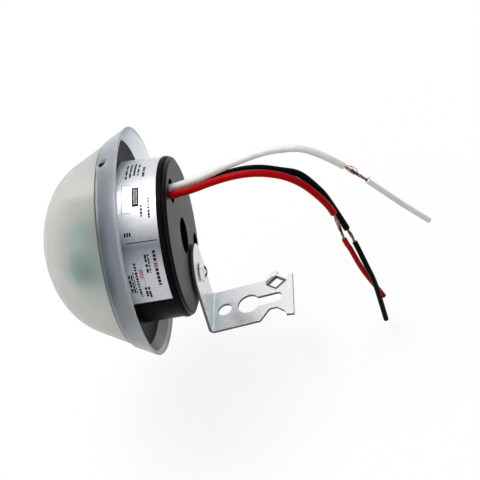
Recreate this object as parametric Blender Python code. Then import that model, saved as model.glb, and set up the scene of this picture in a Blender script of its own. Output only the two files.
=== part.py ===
"""Photocell switch: a light sensor in a translucent domed cover, with three leads and a folded steel bracket.

The part stands in its bracket's frame.  The origin is on the outer face of the bracket's foot, the foot lies
flat on Z = 0 and runs along +X, and +Z points to the switch head.  The head has a frame of its own, hung on
an empty: its X axis runs along the dome's axis, from the nose (-X) to the flat back (+X), and its origin is
the middle of the cover's rim.  Lengths are written in millimetres and scaled to metres in one place.
"""
import math

import bmesh
import bpy
from mathutils import Matrix, Vector
from mathutils.geometry import interpolate_bezier, tessellate_polygon

MM = 0.001
SEAT_GAP = 0.3
ROUND_STEPS = 56
HOLE_STEPS = 24

# Cover
RIM_RADIUS = 36.0
FLARE_SLOPE = math.tan(math.radians(27.3))
SKIRT_DEPTH = 7.0
SKIRT_STEP = 0.4
SKIRT_WALL = 1.25
RIM_ROUND = 0.3
CONE_END_X = -18.0
NOSE_X = -31.5
NOSE_STEPS = 12
SHOULDER_PULL = 8.0
NOSE_PULL = 13.0
COVER_WALL = 1.8

# Catches, where studs on the base's flange snap into holes in the cover's skirt
CATCH_ANGLES = (90.0, 210.0, 330.0)
CATCH_RADIUS = 1.2

# Base
BASE_RADIUS = 25.2
BASE_DRAFT = math.tan(math.radians(2.0))
BACK_X = 12.0
BACK_CORNER = 0.7
CUP_WALL = 2.2
FLANGE_BACK_X = -3.8
FLANGE_THICKNESS = 2.6
BAND_WIDTH = 1.05
BAND_PROUD = 0.35
GROOVE_WIDTH = 0.4
GROOVE_DEPTH = 0.35
RIDGE_WIDTH = 0.55
RIDGE_STEP = 0.8

# Wells and holes in the base's back; the outer ones are placed from the base's edge
WELL_WALL = 1.2
WELL_DEPTH = 4.6
CENTRE_WELL_RADIUS = 5.7
SIDE_WELL_RADIUS = 3.7
SIDE_WELL_FROM_EDGE = 6.5
SIDE_WELL_ANGLE = math.radians(-53.3)
OUTLET_RADIUS = 3.8
OUTLET_FROM_EDGE = 7.7
OUTLET_ASIDE = 1.5

# Label
LABEL_THICKNESS = 0.22
LABEL_GAP = 0.22
LABEL_END_X = 9.1
LABEL_SPAN = (-3.0, 183.0)
LABEL_STEPS = 36

# Bracket; lengths along the foot are measured from the end of its bend
PLATE = 1.0
BEND_RADIUS = 0.8
BEND_DEGREES = 99.0
BEND_STEPS = 6
AXIS_ABOVE_FOLD = 36.4
LEG_HALF_WIDTH = 8.6
FOOT_LENGTH = 27.1
ORIGIN_FROM_BEND = 6.75
FIXING_HOLE_CENTRE = 3.35
FIXING_HOLE_RADIUS = 2.4
KEYHOLE_CENTRE = 11.65
KEYHOLE_RADIUS = 3.8
KEYHOLE_SLOT_FROM_END = 3.8
KEYHOLE_SLOT_HALF = 2.0
DIAMOND_FROM_END = 5.75
DIAMOND_FROM_SIDE = 2.15
DIAMOND_HALF = (3.1, 2.6)
TIP_HALF_WIDTH = 9.0
WAIST_DEPTH = 4.3

# Points of the foot's two edges, as how far back from its end and how far in from the leg's width they lie
WAIST_EDGE = ((11.6, 0.0), (8.3, WAIST_DEPTH), (6.0, WAIST_DEPTH), (3.2, 1.8), (2.6, 0.0))
TAB_EDGE = ((1.5, -0.4), (2.0, 1.2), (5.1, -1.5), (5.1, -3.0), (7.0, -3.0), (9.8, 0.0))

# Bracket screw
SCREW_FROM_EDGE = 8.2
SCREW_RADIUS = 1.5
SCREW_HEAD_RADIUS = 3.2
SCREW_HEAD_HEIGHT = 2.1
SCREW_LENGTH = 9.0
CROSS_WIDTH = 0.9
CROSS_DEPTH = 0.9
BOSS_WALL = 1.5
BOSS_FRONT_X = 3.4

# Circuit board
BOARD_THICKNESS = 1.6
BOARD_CUP_CLEARANCE = 1.4
BOARD_DOME_CLEARANCE = 1.8
BOARD_BACK_X = 2.6
GUIDE_ENGAGES = 1.5
GUIDE_WALL = 1.5
GUIDE_STOP = 1.2

# Light sensor
SENSOR_NOSE_CLEARANCE = 1.4
SENSOR_RADIUS = 2.55
SENSOR_THICKNESS = 2.0
SENSOR_LEG_RADIUS = 0.25
SENSOR_LEG_LENGTH = 4.5

# Parts on the board, as (x, z) places and sizes
RELAY_PLACE = (-5.0, -5.0)
RELAY_SIZE = (15.0, 12.5, 19.0)
FILM_CAPACITOR_PLACE = (-11.0, 0.0)
FILM_CAPACITOR_SIZE = (12.0, 7.0, 17.0)
ELECTROLYTIC_PLACE = (-17.0, 9.0)
ELECTROLYTIC_RADIUS = 4.0
ELECTROLYTIC_HEIGHT = 11.5
RESISTOR_PLACES = ((-23.0, -6.0), (-19.5, -6.0), (-16.0, -6.0), (-2.8, 10.6))
RESISTOR_SIZE = (1.2, 6.4)
DIODE_PLACES = ((-10.0, 12.0), (-6.4, 12.0))
DIODE_SIZE = (1.35, 5.2)
ZENER_PLACES = ((-22.5, 5.0),)
ZENER_SIZE = (0.95, 3.8)
WIRE_RADIUS = 0.3
WIRE_BEND = 1.2
TRANSISTOR_PLACE = (-15.5, -16.5)
TRANSISTOR_RADIUS = 2.3
TRANSISTOR_HEIGHT = 4.6

# Terminals, as their y and how far inside the board guides they lie, and the leads' sizes
TERMINAL_BACK_X = 4.0
WHITE_TERMINAL_PLACE = (2.3, 2.1)
BLACK_TERMINAL_PLACE = (2.2, 5.0)
RED_TERMINAL_PLACE = (-2.2, 2.7)
LEAD_RADIUS = 1.2
TIP_RADIUS = 0.98
COPPER_RADIUS = 0.5
TERMINAL_RADIUS = 1.05
TERMINAL_LENGTH = 5.5
LEAD_POINT_SPACING = 5.5

# Routes of the leads, in the head's frame, and the lengths along them that the bare copper runs between
WHITE_ROUTE = (
    (4.3, 2.3, 18.0), (12.0, 2.3, 18.0), (21.4, 2.3, 20.2), (31.3, 2.3, 23.7), (40.9, 2.3, 26.2),
    (47.0, 2.3, 26.5), (52.8, 2.3, 25.6), (58.2, 2.3, 22.2), (64.3, 2.3, 16.5), (70.4, 2.3, 9.6),
    (79.2, 2.3, -1.2), (87.4, 2.3, -10.6),
)
BLACK_ROUTE = (
    (4.3, 2.2, 15.1), (12.0, 2.0, 15.3), (19.8, 3.2, 16.6), (26.0, 3.2, 18.8), (33.6, 3.2, 20.1),
    (39.6, 3.2, 19.7), (45.3, 3.0, 17.9), (51.0, 2.3, 15.7), (55.9, 2.2, 8.4), (58.2, 2.2, 2.7),
    (61.9, 1.4, -8.3), (63.9, 0.0, -12.9), (66.6, -2.2, -20.6), (68.6, -2.4, -30.7), (70.2, -2.4, -48.3),
)
RED_ROUTE = (
    (4.3, -2.2, 17.4), (12.0, -0.8, 17.8), (18.0, -0.5, 18.4), (24.5, -0.5, 20.1), (30.9, -0.5, 21.3),
    (36.9, -0.5, 21.4), (42.7, -0.5, 20.1), (48.3, -0.5, 17.1), (53.4, -0.5, 11.6), (58.5, -0.5, 1.9),
    (60.4, -0.3, -10.9), (62.0, 0.2, -16.4), (63.6, 0.6, -23.2), (65.4, 0.8, -29.1), (69.8, 0.8, -40.3),
)
LEADS = {
    "white": (WHITE_TERMINAL_PLACE, WHITE_ROUTE, (64.6, 73.8), (0.83, 0.82, 0.80, 1.0)),
    "black": (BLACK_TERMINAL_PLACE, BLACK_ROUTE, (74.9, 80.1), (0.02, 0.02, 0.02, 1.0)),
    "red": (RED_TERMINAL_PLACE, RED_ROUTE, (64.0, 77.0), (0.60, 0.02, 0.03, 1.0)),
}

# Sizes that follow from the ones above
CUP_FLOOR_X = BACK_X - CUP_WALL
FLANGE_FRONT_X = FLANGE_BACK_X - FLANGE_THICKNESS
CATCH_X = FLANGE_BACK_X - FLANGE_THICKNESS / 2.0
LEG_FACE_X = BACK_X + SEAT_GAP + PLATE
SIDE_WELL_OUT = BASE_RADIUS - SIDE_WELL_FROM_EDGE
SIDE_WELL_PLACE = (SIDE_WELL_OUT * math.cos(SIDE_WELL_ANGLE), SIDE_WELL_OUT * math.sin(SIDE_WELL_ANGLE))
OUTLET_PLACE = (OUTLET_ASIDE, BASE_RADIUS - OUTLET_FROM_EDGE)
SCREW_BELOW_AXIS = BASE_RADIUS - SCREW_FROM_EDGE
KEYHOLE_SLOT_END = FOOT_LENGTH - KEYHOLE_SLOT_FROM_END
DIAMOND_CENTRE = (FOOT_LENGTH - DIAMOND_FROM_END, LEG_HALF_WIDTH - DIAMOND_FROM_SIDE)
BOARD_FACE = BOARD_THICKNESS / 2.0
BOARD_HALF_WIDTH = BASE_RADIUS - CUP_WALL - BOARD_CUP_CLEARANCE
GUIDE_INNER = BOARD_HALF_WIDTH - GUIDE_ENGAGES
SENSOR_BACK_X = NOSE_X + COVER_WALL + SENSOR_NOSE_CLEARANCE + SENSOR_THICKNESS
BOARD_FRONT_X = SENSOR_BACK_X + SEAT_GAP
BEND_LENGTH = math.radians(BEND_DEGREES) * (BEND_RADIUS + PLATE / 2.0)
BEND_TANGENT = BEND_RADIUS * math.tan(math.radians(BEND_DEGREES / 2.0))
LEG_SCREW_S = -(BEND_LENGTH + AXIS_ABOVE_FOLD - BEND_TANGENT - SCREW_BELOW_AXIS)
HEAD_TILT = math.radians(BEND_DEGREES - 90.0)


def clear_scene():
    """Remove what the file opened with."""
    for item in list(bpy.data.objects):
        bpy.data.objects.remove(item, do_unlink=True)


def make_material(name, colour, roughness, metallic=0.0, transmission=0.0):
    """Make a Principled material."""
    material = bpy.data.materials.new(name)
    material.use_nodes = True
    shader = material.node_tree.nodes["Principled BSDF"]
    shader.inputs["Base Color"].default_value = colour
    shader.inputs["Roughness"].default_value = roughness
    shader.inputs["Metallic"].default_value = metallic
    shader.inputs["Transmission Weight"].default_value = transmission
    return material


def add_object(name, data, parent, material=None):
    """Link an object to the scene under a parent."""
    item = bpy.data.objects.new(name, data)
    if material is not None:
        data.materials.append(material)
    item.parent = parent
    bpy.context.scene.collection.objects.link(item)
    return item


def add_head():
    """Add the empty that carries the head's frame, tilted by what the bracket is bent past a right angle."""
    head = add_object("head", None, None)
    fold = Vector((-BEND_TANGENT - ORIGIN_FROM_BEND, 0.0, PLATE))
    tilt = Matrix.Rotation(HEAD_TILT, 3, "Y")
    head.location = (fold + tilt @ Vector((-LEG_FACE_X, 0.0, AXIS_ABOVE_FOLD))) * MM
    head.rotation_euler = (0.0, HEAD_TILT, 0.0)
    return head


def finish_mesh(bm, name, smooth_degrees=35.0):
    """Turn a bmesh in millimetres into a mesh in metres with outward faces."""
    bmesh.ops.remove_doubles(bm, verts=bm.verts, dist=0.0005)
    bmesh.ops.recalc_face_normals(bm, faces=bm.faces)
    bmesh.ops.scale(bm, verts=bm.verts, vec=(MM, MM, MM))
    mesh = bpy.data.meshes.new(name)
    bm.to_mesh(mesh)
    bm.free()
    mesh.shade_smooth()
    mesh.set_sharp_from_angle(angle=math.radians(smooth_degrees))
    return mesh


def turned(name, section, span=None, steps=ROUND_STEPS):
    """Turn a section of (x, radius) points about the X axis, all round or over a span of angles from +Y.

    A section that starts and ends on the axis is left open there; any other one is closed.
    """
    bm = bmesh.new()
    start, end = span or (0.0, 360.0)
    turn = Matrix.Rotation(math.radians(start), 4, "X")
    verts = [bm.verts.new(turn @ Vector((x, radius, 0.0))) for x, radius in section]
    if span:
        geometry = [bm.faces.new(verts)]
    else:
        geometry = verts + [bm.edges.new(pair) for pair in zip(verts, verts[1:])]
        if section[0][1] > 0.0:
            geometry.append(bm.edges.new((verts[-1], verts[0])))
    bmesh.ops.spin(bm, geom=geometry, cent=(0, 0, 0), axis=(1, 0, 0),
                   angle=math.radians(end - start), steps=steps, use_merge=not span)
    return finish_mesh(bm, name)


def add_rod(bm, start, end, radius, steps=HOLE_STEPS, end_radius=None):
    """Add a round rod, or a taper, between two points to a bmesh."""
    start, end = Vector(start), Vector(end)
    turn = (end - start).to_track_quat("Z", "Y").to_matrix().to_4x4()
    bmesh.ops.create_cone(bm, cap_ends=True, segments=steps, radius1=radius,
                          radius2=radius if end_radius is None else end_radius,
                          depth=(end - start).length, matrix=Matrix.Translation((start + end) / 2.0) @ turn)


def add_box(bm, low, high):
    """Add a box between two corners to a bmesh."""
    size = [b - a for a, b in zip(low, high)]
    middle = [(a + b) / 2.0 for a, b in zip(low, high)]
    bmesh.ops.create_cube(bm, size=1.0, matrix=Matrix.Translation(middle) @ Matrix.Diagonal((*size, 1.0)))


def add_sheet(bm, outline, holes, thickness):
    """Add a flat sheet with holes to a bmesh, lying in XY with its lower face on Z = 0."""
    loops = [outline] + list(holes)
    lower = [[bm.verts.new((x, y, 0.0)) for x, y in loop] for loop in loops]
    upper = [[bm.verts.new((x, y, thickness)) for x, y in loop] for loop in loops]
    all_lower = [vert for loop in lower for vert in loop]
    all_upper = [vert for loop in upper for vert in loop]
    for corners in tessellate_polygon([[Vector((x, y, 0.0)) for x, y in loop] for loop in loops]):
        bm.faces.new([all_lower[i] for i in corners])
        bm.faces.new([all_upper[i] for i in corners])
    for below, above in zip(lower, upper):
        for i, vert in enumerate(below):
            after = (i + 1) % len(below)
            bm.faces.new((vert, below[after], above[after], above[i]))


def arc(centre, radius, start, end, steps):
    """List points on an arc in a plane, with its angles in degrees."""
    angles = [math.radians(start + (end - start) * i / steps) for i in range(steps + 1)]
    return [(centre[0] + radius * math.cos(a), centre[1] + radius * math.sin(a)) for a in angles]


def circle(centre, radius, steps=HOLE_STEPS):
    """List points on a circle in a plane."""
    return arc(centre, radius, 0.0, 360.0, steps)[:-1]


def combine(target, name, bm, operation):
    """Cut a bmesh from an object, or union it with the object, through a hidden tool object."""
    tool = add_object(name, finish_mesh(bm, name), target.parent)
    tool.hide_render = True
    tool.display_type = "WIRE"
    modifier = target.modifiers.new(name, "BOOLEAN")
    modifier.operation = operation
    modifier.solver = "EXACT"
    modifier.object = tool


def cone_radius(x):
    """Give the skirt's outer radius at x, along its flare."""
    return RIM_RADIUS + x * FLARE_SLOPE


def skirt_inside(x):
    """Give the skirt's inner radius at x."""
    return cone_radius(x) - SKIRT_WALL


def base_radius(x):
    """Give the base's side radius at x, with its draft."""
    return BASE_RADIUS - x * BASE_DRAFT


def around(radius, angle, x):
    """Give the point at x that lies at a radius and an angle from +Y about the X axis."""
    return Vector((x, radius * math.cos(math.radians(angle)), radius * math.sin(math.radians(angle))))


def dome_profile():
    """List the dome's outer profile, from its nose along the rounded end and the cone to the skirt."""
    shoulder = Vector((CONE_END_X, cone_radius(CONE_END_X) - SKIRT_STEP, 0.0))
    down_cone = Vector((-1.0, -FLARE_SLOPE, 0.0)).normalized()
    rounded = interpolate_bezier(shoulder, shoulder + down_cone * SHOULDER_PULL,
                                 Vector((NOSE_X, NOSE_PULL, 0.0)), Vector((NOSE_X, 0.0, 0.0)), NOSE_STEPS)
    skirt_x = -SKIRT_DEPTH - SKIRT_STEP
    return [(point.x, point.y) for point in reversed(rounded)] + [(skirt_x, cone_radius(skirt_x) - SKIRT_STEP)]


def inset(profile, wall):
    """Move a profile that runs outward from the axis inward by a wall, leaving out its last point."""
    moved = [(profile[0][0] + wall, 0.0)]
    for before, point, after in zip(profile, profile[1:], profile[2:]):
        along = Vector((after[0] - before[0], after[1] - before[1])).normalized()
        moved.append((point[0] + along.y * wall, point[1] - along.x * wall))
    return moved


def dome_inside():
    """List the dome's inner profile, from its nose to the ledge that the base's flange seats on."""
    ledge_x = FLANGE_FRONT_X - SEAT_GAP
    dome_drop = SKIRT_STEP + COVER_WALL * math.hypot(1.0, FLARE_SLOPE)
    return inset(dome_profile(), COVER_WALL) + [(ledge_x, cone_radius(ledge_x) - dome_drop)]


def read_profile(profile, column, value):
    """Read the point of a profile at which its x (column 0) or radius (column 1) reaches a value."""
    for before, after in zip(profile, profile[1:]):
        if before[column] <= value <= after[column]:
            share = (value - before[column]) / (after[column] - before[column])
            return Vector(before).lerp(Vector(after), share)
    raise ValueError(f"the dome's inside never reaches {value}")


def make_cover(head):
    """Make the translucent cover: dome, flared skirt, rim, seat for the flange and catch holes."""
    inside = dome_inside()
    ledge_x = inside[-1][0]
    section = dome_profile() + [
        (-SKIRT_DEPTH, cone_radius(-SKIRT_DEPTH)),
        (-RIM_ROUND, cone_radius(-RIM_ROUND)),
        (0.0, RIM_RADIUS - RIM_ROUND),
        (0.0, skirt_inside(0.0) + RIM_ROUND),
        (-RIM_ROUND, skirt_inside(-RIM_ROUND)),
        (ledge_x, skirt_inside(ledge_x)),
    ] + list(reversed(inside))
    material = make_material("milky_plastic", (0.80, 0.82, 0.80, 1.0), 0.35, transmission=0.5)
    cover = add_object("dome_cover", turned("dome_cover", section), head, material)
    holes = bmesh.new()
    for angle in CATCH_ANGLES:
        add_rod(holes, around(BASE_RADIUS, angle, CATCH_X), around(RIM_RADIUS, angle, CATCH_X),
                CATCH_RADIUS + SEAT_GAP, steps=16)
    combine(cover, "catch_holes", holes, "DIFFERENCE")


def base_section():
    """List the base's section: cup inside, flange, side with its band, groove and ridge, and flat back."""
    band_x = LABEL_END_X + SEAT_GAP
    groove_x = band_x + BAND_WIDTH
    ridge_x = groove_x + GROOVE_WIDTH
    corner_x = ridge_x + RIDGE_WIDTH
    corner_radius = base_radius(corner_x) - RIDGE_STEP
    flange_drop = SKIRT_WALL + SEAT_GAP
    return [
        (CUP_FLOOR_X, 0.0),
        (CUP_FLOOR_X, base_radius(CUP_FLOOR_X) - CUP_WALL),
        (FLANGE_FRONT_X, base_radius(FLANGE_FRONT_X) - CUP_WALL),
        (FLANGE_FRONT_X, cone_radius(FLANGE_FRONT_X) - flange_drop),
        (FLANGE_BACK_X, cone_radius(FLANGE_BACK_X) - flange_drop),
        (FLANGE_BACK_X, base_radius(FLANGE_BACK_X)),
        (band_x, base_radius(band_x)),
        (band_x, base_radius(band_x) + BAND_PROUD),
        (groove_x, base_radius(groove_x) + BAND_PROUD),
        (groove_x, base_radius(groove_x) - GROOVE_DEPTH),
        (ridge_x, base_radius(ridge_x) - GROOVE_DEPTH),
        (ridge_x, base_radius(ridge_x)),
        (corner_x, base_radius(corner_x)),
    ] + arc((BACK_X - BACK_CORNER, corner_radius - BACK_CORNER), BACK_CORNER, 90.0, 0.0, 4) + [(BACK_X, 0.0)]


def add_wells(bm, mouth_x, floor_x, wall=0.0):
    """Add the rods of the base's two wells to a bmesh."""
    for radius, (y, z) in ((CENTRE_WELL_RADIUS, (0.0, 0.0)), (SIDE_WELL_RADIUS, SIDE_WELL_PLACE)):
        add_rod(bm, (floor_x, y, z), (mouth_x, y, z), radius + wall)


def make_base(head):
    """Make the black base: a cup with a flange, wells, screw boss, board guides, studs and lead outlet."""
    material = make_material("black_plastic", (0.025, 0.025, 0.027, 1.0), 0.38)
    base = add_object("base_housing", turned("base_housing", base_section()), head, material)
    inside_floor = CUP_FLOOR_X + CUP_WALL / 2.0
    well_floor = BACK_X - WELL_DEPTH
    screw_place = (0.0, -SCREW_BELOW_AXIS)

    bosses = bmesh.new()
    add_wells(bosses, inside_floor, well_floor - WELL_WALL, WELL_WALL)
    add_rod(bosses, (BOSS_FRONT_X, *screw_place), (inside_floor, *screw_place),
            SCREW_RADIUS + SEAT_GAP + BOSS_WALL)
    combine(base, "bosses", bosses, "UNION")

    guide_outer = base_radius(CUP_FLOOR_X) - CUP_WALL / 2.0
    slot_half = BOARD_FACE + SEAT_GAP
    stop_x = BOARD_BACK_X + SEAT_GAP
    guides, slots = bmesh.new(), bmesh.new()
    for side in (-1.0, 1.0):
        inner, outer = sorted((side * GUIDE_INNER, side * guide_outer))
        add_box(guides, (FLANGE_FRONT_X + SEAT_GAP, -slot_half - GUIDE_WALL, inner),
                (stop_x + GUIDE_STOP, slot_half + GUIDE_WALL, outer))
        open_edge, board_edge = sorted((side * (GUIDE_INNER - 1.0), side * (BOARD_HALF_WIDTH + SEAT_GAP)))
        add_box(slots, (FLANGE_FRONT_X - 1.0, -slot_half, open_edge), (stop_x, slot_half, board_edge))
    combine(base, "board_guides", guides, "UNION")

    studs = bmesh.new()
    for angle in CATCH_ANGLES:
        add_rod(studs, around(BASE_RADIUS, angle, CATCH_X), around(cone_radius(CATCH_X), angle, CATCH_X),
                CATCH_RADIUS, steps=16)
    combine(base, "studs", studs, "UNION")
    combine(base, "guide_slots", slots, "DIFFERENCE")

    holes = bmesh.new()
    past_back = BACK_X + 1.0
    add_wells(holes, past_back, well_floor)
    add_rod(holes, (CUP_FLOOR_X - 1.0, *OUTLET_PLACE), (past_back, *OUTLET_PLACE), OUTLET_RADIUS)
    add_rod(holes, (BOSS_FRONT_X - 1.0, *screw_place), (past_back, *screw_place), SCREW_RADIUS + SEAT_GAP)
    combine(base, "back_holes", holes, "DIFFERENCE")


def make_label(head):
    """Make the foil label that wraps half of the base's side."""
    start_x = FLANGE_BACK_X + SEAT_GAP
    inner, outer = LABEL_GAP, LABEL_GAP + LABEL_THICKNESS
    section = [
        (start_x, base_radius(start_x) + inner), (start_x, base_radius(start_x) + outer),
        (LABEL_END_X, base_radius(LABEL_END_X) + outer), (LABEL_END_X, base_radius(LABEL_END_X) + inner),
    ]
    material = make_material("silver_foil", (0.72, 0.73, 0.74, 1.0), 0.35, metallic=0.7)
    add_object("rating_label", turned("rating_label", section, LABEL_SPAN, LABEL_STEPS), head, material)


def bracket_outline():
    """List the flat blank's outline: leg with its round end, then the foot with its cut and flared end."""
    leg_end = arc((LEG_SCREW_S, 0.0), LEG_HALF_WIDTH, 90.0, 270.0, 16)
    near_edge = [(FOOT_LENGTH - back, inward - LEG_HALF_WIDTH) for back, inward in WAIST_EDGE]
    far_edge = [(FOOT_LENGTH - back, LEG_HALF_WIDTH - inward) for back, inward in TAB_EDGE]
    return leg_end + near_edge + [(FOOT_LENGTH, -TIP_HALF_WIDTH), (FOOT_LENGTH, TIP_HALF_WIDTH)] + far_edge


def bracket_holes():
    """List the blank's holes: screw hole, fixing hole, keyhole and diamond."""
    mouth = math.degrees(math.asin(KEYHOLE_SLOT_HALF / KEYHOLE_RADIUS))
    keyhole = arc((KEYHOLE_CENTRE, 0.0), KEYHOLE_RADIUS, mouth, 360.0 - mouth, 20)
    slot_end = arc((KEYHOLE_SLOT_END - KEYHOLE_SLOT_HALF, 0.0), KEYHOLE_SLOT_HALF, -90.0, 90.0, 8)
    x, y = DIAMOND_CENTRE
    half_x, half_y = DIAMOND_HALF
    diamond = [(x - half_x, y), (x, y - half_y), (x + half_x, y), (x, y + half_y)]
    return [circle((LEG_SCREW_S, 0.0), SCREW_RADIUS + SEAT_GAP, 16),
            circle((FIXING_HOLE_CENTRE, 0.0), FIXING_HOLE_RADIUS, 20),
            keyhole + slot_end, diamond]


def fold(point):
    """Carry a point of the flat blank to its place on the folded bracket, in the part's frame."""
    s, y, height = point
    if s >= 0.0:
        return Vector((s - ORIGIN_FROM_BEND, y, height))
    turned_by = min(-s, BEND_LENGTH) / BEND_LENGTH * math.radians(BEND_DEGREES)
    past_bend = max(-s - BEND_LENGTH, 0.0)
    reach = BEND_RADIUS + PLATE - height
    x = -reach * math.sin(turned_by) - past_bend * math.cos(turned_by)
    z = PLATE + BEND_RADIUS - reach * math.cos(turned_by) + past_bend * math.sin(turned_by)
    return Vector((x - ORIGIN_FROM_BEND, y, z))


def make_bracket():
    """Make the bracket as a flat blank with its holes, folded once."""
    bm = bmesh.new()
    add_sheet(bm, bracket_outline(), bracket_holes(), PLATE)
    for i in range(BEND_STEPS + 1):
        bmesh.ops.bisect_plane(bm, geom=bm.verts[:] + bm.edges[:] + bm.faces[:], dist=0.0001,
                               plane_co=(-BEND_LENGTH * i / BEND_STEPS, 0, 0), plane_no=(1, 0, 0))
    for vert in bm.verts:
        vert.co = fold(vert.co)
    material = make_material("zinc_plate", (0.78, 0.80, 0.82, 1.0), 0.25, metallic=1.0)
    add_object("mounting_bracket", finish_mesh(bm, "mounting_bracket"), None, material)


def make_screw(head):
    """Make the pan-head screw that holds the bracket to the base."""
    seat_x = LEG_FACE_X + SEAT_GAP
    tip_x = seat_x - SCREW_LENGTH
    top_x = seat_x + SCREW_HEAD_HEIGHT
    shaft = SCREW_RADIUS
    section = [(tip_x, 0.0), (tip_x, shaft * 0.5), (tip_x + shaft * 0.7, shaft), (seat_x, shaft),
               (seat_x, SCREW_HEAD_RADIUS), (seat_x + SCREW_HEAD_HEIGHT * 0.4, SCREW_HEAD_RADIUS),
               (seat_x + SCREW_HEAD_HEIGHT * 0.8, SCREW_HEAD_RADIUS * 0.8), (top_x, SCREW_HEAD_RADIUS * 0.4),
               (top_x, 0.0)]
    material = make_material("screw_steel", (0.70, 0.71, 0.72, 1.0), 0.3, metallic=1.0)
    screw = add_object("bracket_screw", turned("bracket_screw", section, steps=HOLE_STEPS), head, material)
    screw.location = (0.0, 0.0, -SCREW_BELOW_AXIS * MM)
    long_half, short_half = SCREW_HEAD_RADIUS * 0.6, CROSS_WIDTH / 2.0
    for y, z in ((long_half, short_half), (short_half, long_half)):
        bar = bmesh.new()
        add_box(bar, (top_x - CROSS_DEPTH, -y, -z - SCREW_BELOW_AXIS), (top_x + 1.0, y, z - SCREW_BELOW_AXIS))
        combine(screw, f"cross_{y:.0f}", bar, "DIFFERENCE")


def make_board(head):
    """Make the circuit board, standing on edge along the dome's axis."""
    half = BOARD_HALF_WIDTH
    shoulder_x = read_profile(dome_inside(), 1, half + BOARD_DOME_CLEARANCE).x
    front = read_profile(dome_inside(), 0, BOARD_FRONT_X).y - BOARD_DOME_CLEARANCE
    outline = [(BOARD_BACK_X, -half), (BOARD_BACK_X, half), (shoulder_x, half), (BOARD_FRONT_X, front),
               (BOARD_FRONT_X, -front), (shoulder_x, -half)]
    bm = bmesh.new()
    add_sheet(bm, outline, [], BOARD_THICKNESS)
    stand = Matrix.Translation((0.0, BOARD_FACE, 0.0)) @ Matrix.Rotation(math.radians(90.0), 4, "X")
    bmesh.ops.transform(bm, matrix=stand, verts=bm.verts)
    material = make_material("board_laminate", (0.05, 0.32, 0.24, 1.0), 0.45)
    add_object("circuit_board", finish_mesh(bm, "circuit_board"), head, material)


def make_block(head, name, place, size, side, material):
    """Make a box-shaped component on one side of the board, with rounded edges."""
    near = BOARD_FACE + SEAT_GAP
    low_y, high_y = sorted((side * near, side * (near + size[1])))
    bm = bmesh.new()
    add_box(bm, (place[0] - size[0] / 2.0, low_y, place[1] - size[2] / 2.0),
            (place[0] + size[0] / 2.0, high_y, place[1] + size[2] / 2.0))
    bmesh.ops.bevel(bm, geom=bm.edges[:], offset=0.5, segments=2, profile=0.5, affect="EDGES")
    add_object(name, finish_mesh(bm, name), head, material)


def make_electrolytic(head):
    """Make the electrolytic capacitor: a can with a crimped foot, standing out from the near face."""
    r, h = ELECTROLYTIC_RADIUS, ELECTROLYTIC_HEIGHT
    section = [(0.0, 0.0), (0.0, r - 0.3), (0.3, r), (1.2, r), (1.7, r - 0.4), (2.2, r), (h - 0.5, r),
               (h, r - 0.5), (h, 0.0)]
    material = make_material("can_sleeve", (0.03, 0.05, 0.12, 1.0), 0.35)
    can = add_object("electrolytic_capacitor", turned("can", section, steps=HOLE_STEPS), head, material)
    x, z = ELECTROLYTIC_PLACE
    can.location = Vector((x, -BOARD_FACE - SEAT_GAP, z)) * MM
    can.rotation_euler = (0.0, 0.0, math.radians(-90.0))


def tube_curve(name, points, radius, swells=None):
    """Make a round tube through points, its radius multiplied by a swell at each point where they are given."""
    data = bpy.data.curves.new(name, "CURVE")
    data.dimensions = "3D"
    data.bevel_depth = radius * MM
    data.bevel_resolution = 2
    data.use_fill_caps = True
    spline = data.splines.new("POLY")
    spline.points.add(len(points) - 1)
    for slot, point, swell in zip(spline.points, points, swells or [1.0] * len(points)):
        slot.co = (*(Vector(point) * MM), 1.0)
        slot.radius = swell
    return data


def make_axial_parts(head, name, places, size, material):
    """Make components with a wire at each end, lying along Z on the board's near face."""
    body_radius, body_length = size
    foot_y = -(BOARD_FACE + SEAT_GAP)
    axis_y = foot_y - body_radius
    half = body_length / 2.0
    reach = half + WIRE_BEND
    stations = [(foot_y, -reach), (axis_y, -reach), (axis_y, -half - 0.05), (axis_y, -half), (axis_y, half),
                (axis_y, half + 0.05), (axis_y, reach), (foot_y, reach)]
    bulge = body_radius / WIRE_RADIUS
    swells = [1.0, 1.0, 1.0, bulge, bulge, 1.0, 1.0, 1.0]
    for number, (x, z) in enumerate(places, start=1):
        own_name = name if len(places) == 1 else f"{name}_{number}"
        points = [(x, y, z + along) for y, along in stations]
        add_object(own_name, tube_curve(own_name, points, WIRE_RADIUS, swells), head, material)


def make_transistor(head):
    """Make the transistor: a moulded body with one flat side, standing out from the far face."""
    bm = bmesh.new()
    flat = math.degrees(math.acos(0.6))
    add_sheet(bm, arc((0.0, 0.0), TRANSISTOR_RADIUS, flat, 360.0 - flat, 14), [], TRANSISTOR_HEIGHT)
    x, z = TRANSISTOR_PLACE
    far_face = BOARD_FACE + SEAT_GAP + TRANSISTOR_HEIGHT
    stand = Matrix.Translation((x, far_face, z)) @ Matrix.Rotation(math.radians(90.0), 4, "X")
    bmesh.ops.transform(bm, matrix=stand, verts=bm.verts)
    material = make_material("moulding_black", (0.03, 0.03, 0.03, 1.0), 0.5)
    add_object("transistor", finish_mesh(bm, "transistor"), head, material)


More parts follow.
